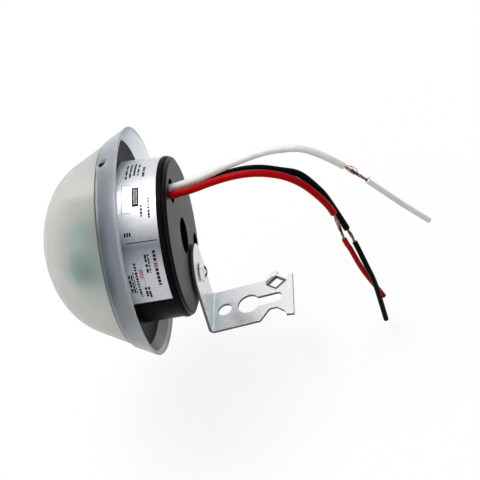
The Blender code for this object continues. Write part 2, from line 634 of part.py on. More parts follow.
def make_sensor(head):
    """Make the light sensor: a disc that looks out through the nose, with a leg on each face of the board."""
    disc = bmesh.new()
    add_rod(disc, (SENSOR_BACK_X - SENSOR_THICKNESS, 0.0, 0.0), (SENSOR_BACK_X, 0.0, 0.0), SENSOR_RADIUS)
    material = make_material("sensor_ceramic", (0.75, 0.45, 0.25, 1.0), 0.4)
    sensor = add_object("light_sensor", finish_mesh(disc, "light_sensor"), head, material)
    legs = bmesh.new()
    leg_y = BOARD_FACE + SEAT_GAP + SENSOR_LEG_RADIUS
    leg_start = SENSOR_BACK_X - SENSOR_THICKNESS / 2.0
    for y in (-leg_y, leg_y):
        add_rod(legs, (leg_start, y, 0.0), (BOARD_FRONT_X + SENSOR_LEG_LENGTH, y, 0.0), SENSOR_LEG_RADIUS, 8)
    combine(sensor, "sensor_legs", legs, "UNION")


def make_terminals(head, material):
    """Make the terminals beside the board that the leads are joined to."""
    for colour_name, ((y, inside), *_) in LEADS.items():
        z = GUIDE_INNER - inside
        bm = bmesh.new()
        add_rod(bm, (TERMINAL_BACK_X - TERMINAL_LENGTH, y, z), (TERMINAL_BACK_X, y, z), TERMINAL_RADIUS, 12)
        name = f"{colour_name}_terminal"
        add_object(name, finish_mesh(bm, name), head, material)


def smooth_route(route, steps=10):
    """Read a smooth curve through a route."""
    points = [Vector(p) for p in route]
    padded = [2 * points[0] - points[1]] + points + [2 * points[-1] - points[-2]]
    curve = [points[0]]
    for before, start, end, after in zip(padded, padded[1:], padded[2:], padded[3:]):
        run = interpolate_bezier(start, start + (end - before) / 6.0, end - (after - start) / 6.0, end, steps + 1)
        curve.extend(run[1:])
    return curve


def points_between(curve, start, end, spacing):
    """Read evenly spaced points from a curve, between two lengths along it."""
    count = max(2, math.ceil((end - start) / spacing) + 1)
    wanted = [start + (end - start) * i / (count - 1) for i in range(count)]
    found, travelled = [], 0.0
    for a, b in zip(curve, curve[1:]):
        step = (b - a).length
        while wanted and wanted[0] <= travelled + step + 0.001:
            found.append(a.lerp(b, (wanted.pop(0) - travelled) / step))
        travelled += step
    return found


def make_leads(head):
    """Make each lead as its insulated run, its bare copper and the piece of insulation left on its tip."""
    copper = make_material("copper", (0.72, 0.38, 0.22, 1.0), 0.35, metallic=1.0)
    for colour_name, (_, route, (bare_start, bare_end), colour) in LEADS.items():
        insulation = make_material(f"{colour_name}_insulation", colour, 0.45)
        curve = smooth_route(route)
        whole = sum((b - a).length for a, b in zip(curve, curve[1:]))
        runs = (
            ("lead", 0.0, bare_start, LEAD_RADIUS, insulation),
            ("copper", bare_start + SEAT_GAP, bare_end - SEAT_GAP, COPPER_RADIUS, copper),
            ("tip", bare_end, whole, TIP_RADIUS, insulation),
        )
        for piece, start, end, radius, material in runs:
            points = points_between(curve, start, end, LEAD_POINT_SPACING)
            name = f"{colour_name}_{piece}"
            add_object(name, tube_curve(name, points, radius), head, material)


def main():
    """Build the photocell switch."""
    clear_scene()
    head = add_head()
    make_cover(head)
    make_base(head)
    make_label(head)
    make_bracket()
    make_screw(head)
    make_board(head)
    relay_blue = make_material("relay_blue", (0.05, 0.12, 0.30, 1.0), 0.35)
    film_red = make_material("film_resin", (0.45, 0.10, 0.05, 1.0), 0.35)
    make_block(head, "relay_case", RELAY_PLACE, RELAY_SIZE, -1.0, relay_blue)
    make_block(head, "film_capacitor", FILM_CAPACITOR_PLACE, FILM_CAPACITOR_SIZE, 1.0, film_red)
    make_electrolytic(head)
    tan = make_material("resistor_tan", (0.55, 0.42, 0.28, 1.0), 0.5)
    diode_black = make_material("diode_black", (0.03, 0.03, 0.03, 1.0), 0.4)
    glass_orange = make_material("diode_glass", (0.50, 0.20, 0.08, 1.0), 0.2)
    make_axial_parts(head, "resistor", RESISTOR_PLACES, RESISTOR_SIZE, tan)
    make_axial_parts(head, "rectifier_diode", DIODE_PLACES, DIODE_SIZE, diode_black)
    make_axial_parts(head, "zener_diode", ZENER_PLACES, ZENER_SIZE, glass_orange)
    make_transistor(head)
    make_sensor(head)
    tin = make_material("solder_tin", (0.62, 0.63, 0.65, 1.0), 0.35, metallic=1.0)
    make_terminals(head, tin)
    make_leads(head)


main()
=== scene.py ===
"""Looks of the photocell switch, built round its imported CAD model.

Pieces are drawn in millimetres in one of two spaces.  The head's space has its X axis along the dome's
axis, from the nose (-X) to the flat back (+X), with its origin in the middle of the cover's rim.  The
foot's space is the part's own frame, on the outer face of the bracket's foot.
"""
import logging
import math
import random
from dataclasses import dataclass, field, replace
from enum import Enum
from typing import Any, Iterable, Sequence

import bmesh
import bpy
from mathutils import Matrix, Vector
from mathutils.geometry import interpolate_bezier


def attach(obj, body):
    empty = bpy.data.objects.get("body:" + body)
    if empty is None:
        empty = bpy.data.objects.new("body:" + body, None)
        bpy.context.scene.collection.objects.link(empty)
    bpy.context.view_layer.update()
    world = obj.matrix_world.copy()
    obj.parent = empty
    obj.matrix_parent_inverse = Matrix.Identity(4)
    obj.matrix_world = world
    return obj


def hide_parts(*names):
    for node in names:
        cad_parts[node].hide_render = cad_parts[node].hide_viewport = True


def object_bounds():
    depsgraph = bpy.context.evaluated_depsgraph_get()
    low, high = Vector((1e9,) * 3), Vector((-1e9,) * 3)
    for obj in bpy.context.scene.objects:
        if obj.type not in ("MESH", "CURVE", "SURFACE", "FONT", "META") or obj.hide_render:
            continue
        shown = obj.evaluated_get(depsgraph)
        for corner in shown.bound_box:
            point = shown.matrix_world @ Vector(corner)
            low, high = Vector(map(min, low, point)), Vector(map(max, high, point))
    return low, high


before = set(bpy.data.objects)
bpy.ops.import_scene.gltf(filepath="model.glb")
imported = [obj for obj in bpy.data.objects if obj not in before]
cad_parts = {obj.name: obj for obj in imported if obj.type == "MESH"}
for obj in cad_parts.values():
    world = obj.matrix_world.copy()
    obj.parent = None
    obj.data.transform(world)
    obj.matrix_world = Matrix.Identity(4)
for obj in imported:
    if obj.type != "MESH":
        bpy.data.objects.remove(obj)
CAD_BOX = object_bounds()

LOG = logging.getLogger("photocell_switch")
BODY = "root"
MM = 0.001
FINE_STEPS = 144
ROUTE_STEPS = 8
SEAT_GAP = 0.3
OVERSHOOT = 1.0
SHARP_ANGLE = math.radians(50.0)
NOISE_RANGE = (0.3, 0.7)
HEAD_ORIGIN = Vector((-15.129, 0.0, 39.033))
HEAD_TILT = math.radians(9.0)

Solid = bmesh.types.BMesh
Mesh = bpy.types.Mesh
Material = bpy.types.Material
NodeTree = bpy.types.NodeTree
Socket = bpy.types.NodeSocket
Corner = tuple[float, float, float]
Colour = tuple[float, float, float]
Stops = Sequence[tuple[float, Colour]]


class Space(Enum):
    """The two frames that pieces are drawn in, with their places in the part's frame."""

    HEAD = Matrix.Translation(HEAD_ORIGIN) @ Matrix.Rotation(HEAD_TILT, 4, "Y")
    FOOT = Matrix.Identity(4)

    def place(self, point: Sequence[float]) -> Vector:
        """Give a point of this space in the part's frame, in metres."""
        return (self.value @ Vector(point)) * MM


class Join(Enum):
    """Ways to combine two solids."""

    ADD = "UNION"
    CUT = "DIFFERENCE"


@dataclass(frozen=True)
class HeadSizes:
    """Sizes that the cover and the base share."""

    rim_radius: float = 36.0
    flare_slope: float = math.tan(math.radians(27.3))
    base_radius: float = 25.2
    base_draft: float = math.tan(math.radians(2.0))
    back_x: float = 12.0
    flange_back_x: float = -3.8
    flange_thickness: float = 2.6
    skirt_wall: float = 1.25
    label_end_x: float = 9.1
    catch_turns: tuple[float, ...] = (90.0, 210.0, 330.0)
    catch_radius: float = 1.2

    @property
    def flange_front_x(self) -> float:
        """Give where the flange's front face lies."""
        return self.flange_back_x - self.flange_thickness

    @property
    def catch_x(self) -> float:
        """Give where the catches lie."""
        return self.flange_back_x - self.flange_thickness / 2.0

    def cone(self, x: float) -> float:
        """Give the skirt's outer radius at x."""
        return self.rim_radius + x * self.flare_slope

    def side(self, x: float) -> float:
        """Give the base's side radius at x."""
        return self.base_radius - x * self.base_draft


HEAD = HeadSizes()


def around(radius: float, turn: float, x: float) -> Vector:
    """Give the point at x that lies at a radius and an angle from +Y about the head's axis."""
    return Vector((x, radius * math.cos(math.radians(turn)), radius * math.sin(math.radians(turn))))


# Shapes


def new_object(name: str, data: Any) -> bpy.types.Object:
    """Make an object that holds some data, and link it to the scene."""
    made = bpy.data.objects.new(name, data)
    bpy.context.scene.collection.objects.link(made)
    return made


def to_mesh(name: str, bm: Solid) -> Mesh:
    """Turn a solid into a mesh, using it up."""
    mesh = bpy.data.meshes.new(name)
    bm.to_mesh(mesh)
    bm.free()
    return mesh


def tidy(bm: Solid) -> None:
    """Merge doubled vertices and point all faces outwards."""
    bmesh.ops.remove_doubles(bm, verts=bm.verts, dist=0.0005)
    bmesh.ops.recalc_face_normals(bm, faces=bm.faces)


def bevel(bm: Solid, geom: Sequence[Any], width: float, affect: str, segments: int) -> None:
    """Round some corners or edges of a solid."""
    bmesh.ops.bevel(bm, geom=geom, offset=width, offset_type="OFFSET", segments=segments, profile=0.5,
                    affect=affect, material=-1, clamp_overlap=True)


def soften(bm: Solid, width: float) -> None:
    """Round the sharp edges of a solid."""
    tidy(bm)
    edges = [edge for edge in bm.edges if edge.is_manifold and edge.calc_face_angle() > SHARP_ANGLE]
    bevel(bm, edges, width, "EDGES", 2)


def lathe(section: Sequence[Corner], steps: int = FINE_STEPS,
          span: tuple[float, float] | None = None) -> Solid:
    """Turn a section about the X axis.

    Args:
        section: Corners as (x, radius, rounding). A section that starts off the axis is closed.
        steps: Steps all round, or over the span.
        span: First and last angle in degrees from +Y, or None for a full turn.

    Returns:
        The turned solid.
    """
    bm = bmesh.new()
    verts = [bm.verts.new((x, radius, 0.0)) for x, radius, _ in section]
    for pair in zip(verts, verts[1:]):
        bm.edges.new(pair)
    if section[0][1] > 0.0:
        bm.edges.new((verts[-1], verts[0]))
    for rounding in sorted({corner[2] for corner in section} - {0.0}):
        corners = [vert for vert, corner in zip(verts, section) if corner[2] == rounding]
        bevel(bm, corners, rounding, "VERTICES", 3)
    turn = math.tau
    if span:
        turn = math.radians(span[1] - span[0])
        bmesh.ops.contextual_create(bm, geom=bm.edges[:])
        bmesh.ops.rotate(bm, verts=bm.verts, cent=(0, 0, 0),
                         matrix=Matrix.Rotation(math.radians(span[0]), 3, "X"))
    bmesh.ops.spin(bm, geom=bm.verts[:] + bm.edges[:] + bm.faces[:], cent=(0, 0, 0), axis=(1, 0, 0),
                   angle=turn, steps=steps, use_merge=not span)
    tidy(bm)
    return bm


def add_rod(bm: Solid, start: Sequence[float], end: Sequence[float], radius: float, steps: int = 48) -> None:
    """Add a round rod between two points.

    Args:
        bm: The solid to add it to.
        start: Middle of its first end.
        end: Middle of its last end.
        radius: Its radius.
        steps: Its sides.
    """
    start, end = Vector(start), Vector(end)
    turn = (end - start).to_track_quat("Z", "Y").to_matrix().to_4x4()
    bmesh.ops.create_cone(bm, cap_ends=True, segments=steps, radius1=radius, radius2=radius,
                          depth=(end - start).length, matrix=Matrix.Translation((start + end) / 2.0) @ turn)


def add_box(bm: Solid, low: Sequence[float], high: Sequence[float]) -> None:
    """Add a box between two corners.

    Args:
        bm: The solid to add it to.
        low: Its lowest corner.
        high: Its highest corner.
    """
    size = [b - a for a, b in zip(low, high)]
    middle = [(a + b) / 2.0 for a, b in zip(low, high)]
    bmesh.ops.create_cube(bm, size=1.0, matrix=Matrix.Translation(middle) @ Matrix.Diagonal((*size, 1.0)))


def combine(body: Solid, tool: Solid, how: Join) -> Solid:
    """Combine two solids, using both up.

    Args:
        body: The solid that is kept or cut.
        tool: The solid that is added or taken away.
        how: Whether the tool is added or cut out.

    Returns:
        The combined solid.
    """
    solids = []
    for bm in (body, tool):
        tidy(bm)
        solids.append(new_object("solid", to_mesh("solid", bm)))
    modifier = solids[0].modifiers.new("combine", "BOOLEAN")
    modifier.operation = how.value
    modifier.solver = "EXACT"
    modifier.object = solids[1]
    made = bmesh.new()
    made.from_object(solids[0], bpy.context.evaluated_depsgraph_get())
    for item in solids:
        mesh = item.data
        bpy.data.objects.remove(item)
        bpy.data.meshes.remove(mesh)
    return made


def arc(centre: Sequence[float], radius: float, start: float = 0.0, end: float = 352.5,
        steps: int = 47) -> list[tuple[float, float]]:
    """List points on an arc in a plane, or on a whole ring that ends one step before it closes.

    Args:
        centre: Middle of the arc.
        radius: Its radius.
        start: First angle in degrees.
        end: Last angle in degrees.
        steps: Steps between them.

    Returns:
        The points.
    """
    angles = [math.radians(start + (end - start) * i / steps) for i in range(steps + 1)]
    return [(centre[0] + radius * math.cos(a), centre[1] + radius * math.sin(a)) for a in angles]


def curve_mesh(name: str, splines: Iterable[Sequence[Sequence[float]]], **settings: Any) -> Mesh:
    """Make a mesh from a curve of straight stretches.

    Args:
        name: Name of the mesh.
        splines: Points of each spline, as (x, y, z) or (x, y, z, thickness).
        settings: Values of the curve, such as its bevel. A 2D curve is closed.

    Returns:
        The curve's surface.
    """
    curve = bpy.data.curves.new(name, "CURVE")
    for key, value in settings.items():
        setattr(curve, key, value)
    for points in splines:
        spline = curve.splines.new("POLY")
        spline.use_cyclic_u = curve.dimensions == "2D"
        spline.points.add(len(points) - 1)
        for slot, (x, y, z, *thickness) in zip(spline.points, points):
            slot.co = (x, y, z, 1.0)
            slot.radius = thickness[0] if thickness else 1.0
    item = new_object(name, curve)
    mesh = bpy.data.meshes.new_from_object(item.evaluated_get(bpy.context.evaluated_depsgraph_get()))
    bpy.data.objects.remove(item)
    bpy.data.curves.remove(curve)
    return mesh


class Line:
    """A run of points that is read by the distance along it."""

    def __init__(self, points: Sequence[Vector]) -> None:
        """Measure how far along the line each point lies."""
        self.points = points
        self.reached = [0.0]
        for a, b in zip(points, points[1:]):
            self.reached.append(self.reached[-1] + (b - a).length)

    @classmethod
    def through(cls, route: Sequence[Sequence[float]]) -> "Line":
        """Draw a smooth line through the points of a route.

        Args:
            route: The points.

        Returns:
            The line.
        """
        points = [Vector(p) for p in route]
        padded = [2 * points[0] - points[1]] + points + [2 * points[-1] - points[-2]]
        curve = [points[0]]
        for before, start, end, after in zip(padded, padded[1:], padded[2:], padded[3:]):
            run = interpolate_bezier(start, start + (end - before) / 6.0, end - (after - start) / 6.0, end,
                                     ROUTE_STEPS + 1)
            curve.extend(run[1:])
        return cls(curve)

    def at(self, distance: float) -> tuple[Vector, Vector]:
        """Read the line at a distance along it.

        Args:
            distance: The distance from its start.

        Returns:
            The point and the direction there.
        """
        number = 0
        while distance > self.reached[number + 1] and number + 2 < len(self.points):
            number += 1
        a, b = self.points[number:number + 2]
        start, end = self.reached[number:number + 2]
        return a.lerp(b, (distance - start) / (end - start)), (b - a).normalized()

    def between(self, low: float, high: float) -> list[float]:
        """List how far along the points lie that are between two distances."""
        return [s for s in self.reached if low < s < high]

    def off(self, place: Vector) -> float:
        """Measure how far a place lies off the line.

        Args:
            place: The place.

        Returns:
            Its distance from the nearest point of the line.
        """
        nearest = math.inf
        for a, b in zip(self.points, self.points[1:]):
            share = max(0.0, min(1.0, (place - a).dot(b - a) / (b - a).length_squared))
            nearest = min(nearest, (place - a.lerp(b, share)).length)
        return nearest


def add_piece(name: str, shape: Solid | Mesh, materials: Sequence[Material],
              replaces: Sequence[str] = (), space: Space = Space.HEAD,
              even_normals: bool = True) -> bpy.types.Object:
    """Add a finished piece that rides on the part.

    Args:
        name: Name of the piece.
        shape: Its shape, in millimetres.
        materials: Its materials, in the order of its faces' indexes.
        replaces: CAD nodes that it stands for.
        space: The space that it is drawn in.
        even_normals: Whether large flat faces decide the shading across their rounded edges.

    Returns:
        The piece's object.
    """
    if isinstance(shape, Solid):
        tidy(shape)
        shape = to_mesh(name, shape)
    shape.transform(Matrix.Scale(MM, 4) @ space.value)
    for material in materials:
        shape.materials.append(material)
    shape.shade_smooth()
    shape.set_sharp_from_angle(angle=SHARP_ANGLE)
    piece = new_object(name, shape)
    if even_normals:
        modifier = piece.modifiers.new("even_normals", "WEIGHTED_NORMAL")
        modifier.keep_sharp = True
    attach(piece, BODY)
    if replaces:
        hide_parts(*replaces)
    LOG.info("%s: %d faces", name, len(shape.polygons))
    return piece


# Node trees


def opaque(colour: Any) -> Any:
    """Give a plain colour its alpha, and leave a socket or a number alone."""
    return (*colour, 1.0) if isinstance(colour, tuple) and len(colour) == 3 else colour


def shade(colour: Colour, share: float) -> Colour:
    """Give a share of a colour."""
    return tuple(value * share for value in colour)


class Recipe:
    """A node tree that is being made, with short calls to add and join its nodes."""

    def __init__(self, tree: NodeTree) -> None:
        """Start with an existing tree."""
        self.tree = tree

    def add(self, kind: str, inputs: dict[str | int, Any] | None = None, **settings: Any) -> bpy.types.Node:
        """Add a node.

        Args:
            kind: Blender's name of the node's type.
            inputs: Values or sockets for its inputs, by name or index.
            settings: Values of the node itself.

        Returns:
            The new node.
        """
        node = self.tree.nodes.new(kind)
        for key, value in settings.items():
            setattr(node, key, value)
        for key, value in (inputs or {}).items():
            self.join(value, node.inputs[key])
        return node

    def join(self, value: Any, socket: Socket) -> None:
        """Link a socket to another one, or set its value.

        Args:
            value: The value, or the socket that brings it.
            socket: The input that takes it.
        """
        if isinstance(value, Socket):
            self.tree.links.new(value, socket)
        else:
            socket.default_value = value

    def maths(self, operation: str, *values: Any) -> Socket:
        """Work out a number from up to three others."""
        return self.add("ShaderNodeMath", dict(enumerate(values)), operation=operation).outputs[0]

    def length(self, a: Any, b: Any) -> Socket:
        """Give the length of a step with two sides."""
        return self.maths("SQRT", self.maths("MULTIPLY_ADD", a, a, self.maths("MULTIPLY", b, b)))

    def between(self, value: Any, low: Any, high: Any) -> Socket:
        """Give 1 where a value lies between two others, and 0 elsewhere."""
        above, below = self.maths("GREATER_THAN", value, low), self.maths("LESS_THAN", value, high)
        return self.maths("MULTIPLY", above, below)

    def blend(self, share: Any, first: Any, second: Any, mode: str = "MIX") -> Socket:
        """Blend two colours."""
        colours = {0: share, 6: opaque(first), 7: opaque(second)}
        return self.add("ShaderNodeMix", colours, data_type="RGBA", blend_type=mode).outputs[2]

    def scaled(self, value: Any, low: float, high: float, to_low: float = 0.0,
               to_high: float = 1.0) -> Socket:
        """Map a range of a value to another range, and stop at its ends."""
        return self.add("ShaderNodeMapRange", {0: value, 1: low, 2: high, 3: to_low, 4: to_high}).outputs[0]

    def noise(self, place: Any, scale: Any, detail: float = 3.0, roughness: float = 0.5) -> Socket:
        """Make a soft noise whose scale is in cells per metre."""
        inputs = {"Vector": place, "Scale": scale, "Detail": detail, "Roughness": roughness}
        return self.add("ShaderNodeTexNoise", inputs).outputs[0]

    def spread(self, noise: Any, to_low: float = 0.0, to_high: float = 1.0) -> Socket:
        """Map the range in which nearly all of a noise lies to another range."""
        return self.scaled(noise, *NOISE_RANGE, to_low, to_high)

    def ramp(self, value: Any, stops: Stops) -> Socket:
        """Colour a value by a ramp.

        Args:
            value: The value.
            stops: Places on the ramp, from 0 to 1, and their colours.

        Returns:
            The colour.
        """
        node = self.add("ShaderNodeValToRGB", {0: value})
        elements = node.color_ramp.elements
        while len(elements) < len(stops):
            elements.new(1.0)
        for element, (position, colour) in zip(elements, stops):
            element.position = position
            element.color = opaque(colour)
        return node.outputs[0]

    def tones(self, noise: Any, dark: Colour, light: Colour) -> Socket:
        """Colour the range in which nearly all of a noise lies from dark to light."""
        return self.ramp(noise, tuple(zip(NOISE_RANGE, (dark, light))))

    def give(self, **results: Socket) -> NodeTree:
        """End a shared effect with its outputs.

        Args:
            results: The socket for each output, by the output's name.

        Returns:
            The effect.
        """
        for name in results:
            self.tree.interface.new_socket(name, in_out="OUTPUT", socket_type="NodeSocketFloat")
        self.add("NodeGroupOutput", results)
        return self.tree


def new_effect(name: str, *inputs: str) -> tuple[Recipe, Any]:
    """Start a shared effect.

    Args:
        name: Name of the node group.
        inputs: Names of its inputs. A place and a stretch are vectors, and the rest are numbers.

    Returns:
        The recipe, and the sockets that bring its inputs.
    """
    recipe = Recipe(bpy.data.node_groups.new(name, "ShaderNodeTree"))
    for socket in inputs:
        kind = "Vector" if socket in ("Place", "Stretch") else "Float"
        recipe.tree.interface.new_socket(socket, in_out="INPUT", socket_type=f"NodeSocket{kind}")
    return recipe, recipe.add("NodeGroupInput").outputs


def make_head_axes() -> NodeTree:
    """Make the effect that reads a place along the head's axis, out from it, round it, and up.

    Returns:
        The effect.
    """
    recipe, given = new_effect("Head axes", "Place")
    mapping = recipe.add("ShaderNodeMapping", {"Vector": given["Place"], "Location": HEAD_ORIGIN * MM,
                                               "Rotation": (0.0, HEAD_TILT, 0.0), "Scale": (MM, MM, MM)},
                         vector_type="TEXTURE")
    x, y, z = recipe.add("ShaderNodeSeparateXYZ", {0: mapping.outputs[0]}).outputs
    from_top = recipe.maths("ARCTAN2", recipe.maths("MULTIPLY", y, -1.0), z)
    turn = recipe.maths("MULTIPLY_ADD", from_top, math.degrees(1.0), 90.0)
    return recipe.give(Along=x, Out=recipe.length(y, z), Turn=turn, Up=z)


def make_surface_grain() -> NodeTree:
    """Make the effect of a worked surface: fine grain for its relief, and slow patches for colour and gloss.

    Returns:
        The effect.
    """
    recipe, given = new_effect("Surface grain", "Place", "Grain size", "Patch size")
    fine = recipe.noise(given["Place"], recipe.maths("DIVIDE", 1.0, given["Grain size"]), detail=2.0)
    patches = recipe.noise(given["Place"], recipe.maths("DIVIDE", 1.0, given["Patch size"]), detail=4.0,
                           roughness=0.6)
    return recipe.give(Relief=recipe.maths("MULTIPLY_ADD", patches, 0.35, fine), Patches=patches, Fine=fine)


def make_brushing() -> NodeTree:
    """Make the effect of fine lines drawn along one direction, by a stretched noise.

    Returns:
        The effect.
    """
    recipe, given = new_effect("Brushing", "Place", "Stretch")
    stretched = recipe.add("ShaderNodeVectorMath", {0: given["Place"], 1: given["Stretch"]},
                           operation="MULTIPLY")
    return recipe.give(Lines=recipe.noise(stretched.outputs[0], scale=1.0, detail=3.0, roughness=0.7))


def make_print_mark() -> NodeTree:
    """Make the effect of a printed field on the label, whole or broken into dashes round the label.

    Returns:
        The effect.
    """
    recipe, given = new_effect("Print mark", "Along", "Turn", "Along from", "Along to", "Turn from",
                               "Turn to", "Pitch", "Fill")
    box = recipe.maths("MULTIPLY", recipe.between(given["Along"], given["Along from"], given["Along to"]),
                       recipe.between(given["Turn"], given["Turn from"], given["Turn to"]))
    past = recipe.maths("SUBTRACT", given["Turn"], given["Turn from"])
    steps = recipe.maths("DIVIDE", past, given["Pitch"])
    number = recipe.maths("ADD", recipe.maths("FLOOR", steps), given["Along from"])
    chance = recipe.add("ShaderNodeTexWhiteNoise", {"W": number}, noise_dimensions="1D").outputs["Value"]
    uneven = recipe.maths("MULTIPLY", given["Fill"], recipe.maths("MULTIPLY_ADD", chance, 0.5, 0.75))
    dashes = recipe.maths("LESS_THAN", recipe.maths("FRACT", steps), uneven)
    return recipe.give(Mask=recipe.maths("MULTIPLY", box, dashes))


@dataclass(frozen=True)
class Effects:
    """The shared effects, made once."""

    head_axes: NodeTree = field(default_factory=make_head_axes)
    grain: NodeTree = field(default_factory=make_surface_grain)
    brushing: NodeTree = field(default_factory=make_brushing)
    print_mark: NodeTree = field(default_factory=make_print_mark)


EFFECTS = Effects()


class Coat(Recipe):
    """A material that is being made, with its shader and the place that its patterns read."""

    def __init__(self, name: str, **constants: Any) -> None:
        """Start a material.

        Args:
            name: Name of the material.
            constants: Values of the shader that are the same all over, with underscores for spaces.
        """
        self.material = bpy.data.materials.new(name)
        self.material.use_nodes = True
        super().__init__(self.material.node_tree)
        self.shader = self.tree.nodes["Principled BSDF"]
        self.place = self.add("ShaderNodeTexCoord").outputs["Object"]
        for key, value in constants.items():
            self.set(key.replace("_", " "), value)

    def set(self, socket: str, value: Any) -> None:
        """Set or link one of the shader's inputs."""
        self.join(opaque(value), self.shader.inputs[socket])

    def finish(self, colour: Any, roughness: Any, height: Any, depth: float) -> Material:
        """Set what changes over the surface, and end the material.

        Args:
            colour: The base colour.
            roughness: The roughness.
            height: The height of the relief, from 0 to 1.
            depth: The depth of the relief in millimetres.

        Returns:
            The material.
        """
        self.set("Base Color", colour)
        self.set("Roughness", roughness)
        self.set("Normal", self.add("ShaderNodeBump", {"Height": height, "Distance": depth * MM}).outputs[0])
        return self.material

    def effect(self, tree: NodeTree, **inputs: Any) -> Any:
        """Place a shared effect with its own values, and give its outputs."""
        named = {key.replace("_", " "): value for key, value in inputs.items()}
        return self.add("ShaderNodeGroup", named, node_tree=tree).outputs

    def grain(self, size: float, patch: float) -> Any:
        """Place the grain effect, with its sizes in millimetres."""
        return self.effect(EFFECTS.grain, Place=self.place, Grain_size=size * MM, Patch_size=patch * MM)

    def brushed(self, stretch: Sequence[float]) -> Socket:
        """Place the brushing effect, and give its lines."""
        return self.effect(EFFECTS.brushing, Place=self.place, Stretch=stretch)["Lines"]

    def head_axes(self) -> Any:
        """Place the effect that reads the head's axes."""
        return self.effect(EFFECTS.head_axes, Place=self.place)

    def parts(self) -> Any:
        """Give the place's X, Y and Z in the part's frame, in metres."""
        return self.add("ShaderNodeSeparateXYZ", {0: self.place}).outputs


# Finishes


@dataclass(frozen=True)
class MouldedPlastic:
    """A moulded plastic with a fine grain and slow patches of colour and gloss."""

    name: str
    colour: Colour
    roughness: float = 0.4
    roughness_swing: float = 0.12
    colour_swing: float = 0.15
    dust: float = 0.004
    grain_size: float = 0.25
    grain_depth: float = 0.012
    patch_size: float = 7.0
    gloss: float = 0.4
    coat: float = 0.0

    def material(self) -> Material:
        """Make the material.

        Returns:
            The material.
        """
        coat = Coat(self.name, Specular_IOR_Level=self.gloss, Coat_Weight=self.coat, Coat_Roughness=0.15)
        grain = coat.grain(self.grain_size, self.patch_size)
        light = tuple(min(1.0, value + self.dust) for value in shade(self.colour, 1.0 + self.colour_swing))
        half = self.roughness_swing / 2.0
        return coat.finish(coat.tones(grain["Patches"], shade(self.colour, 1.0 - self.colour_swing), light),
                           coat.spread(grain["Patches"], self.roughness - half, self.roughness + half),
                           grain["Relief"], self.grain_depth)


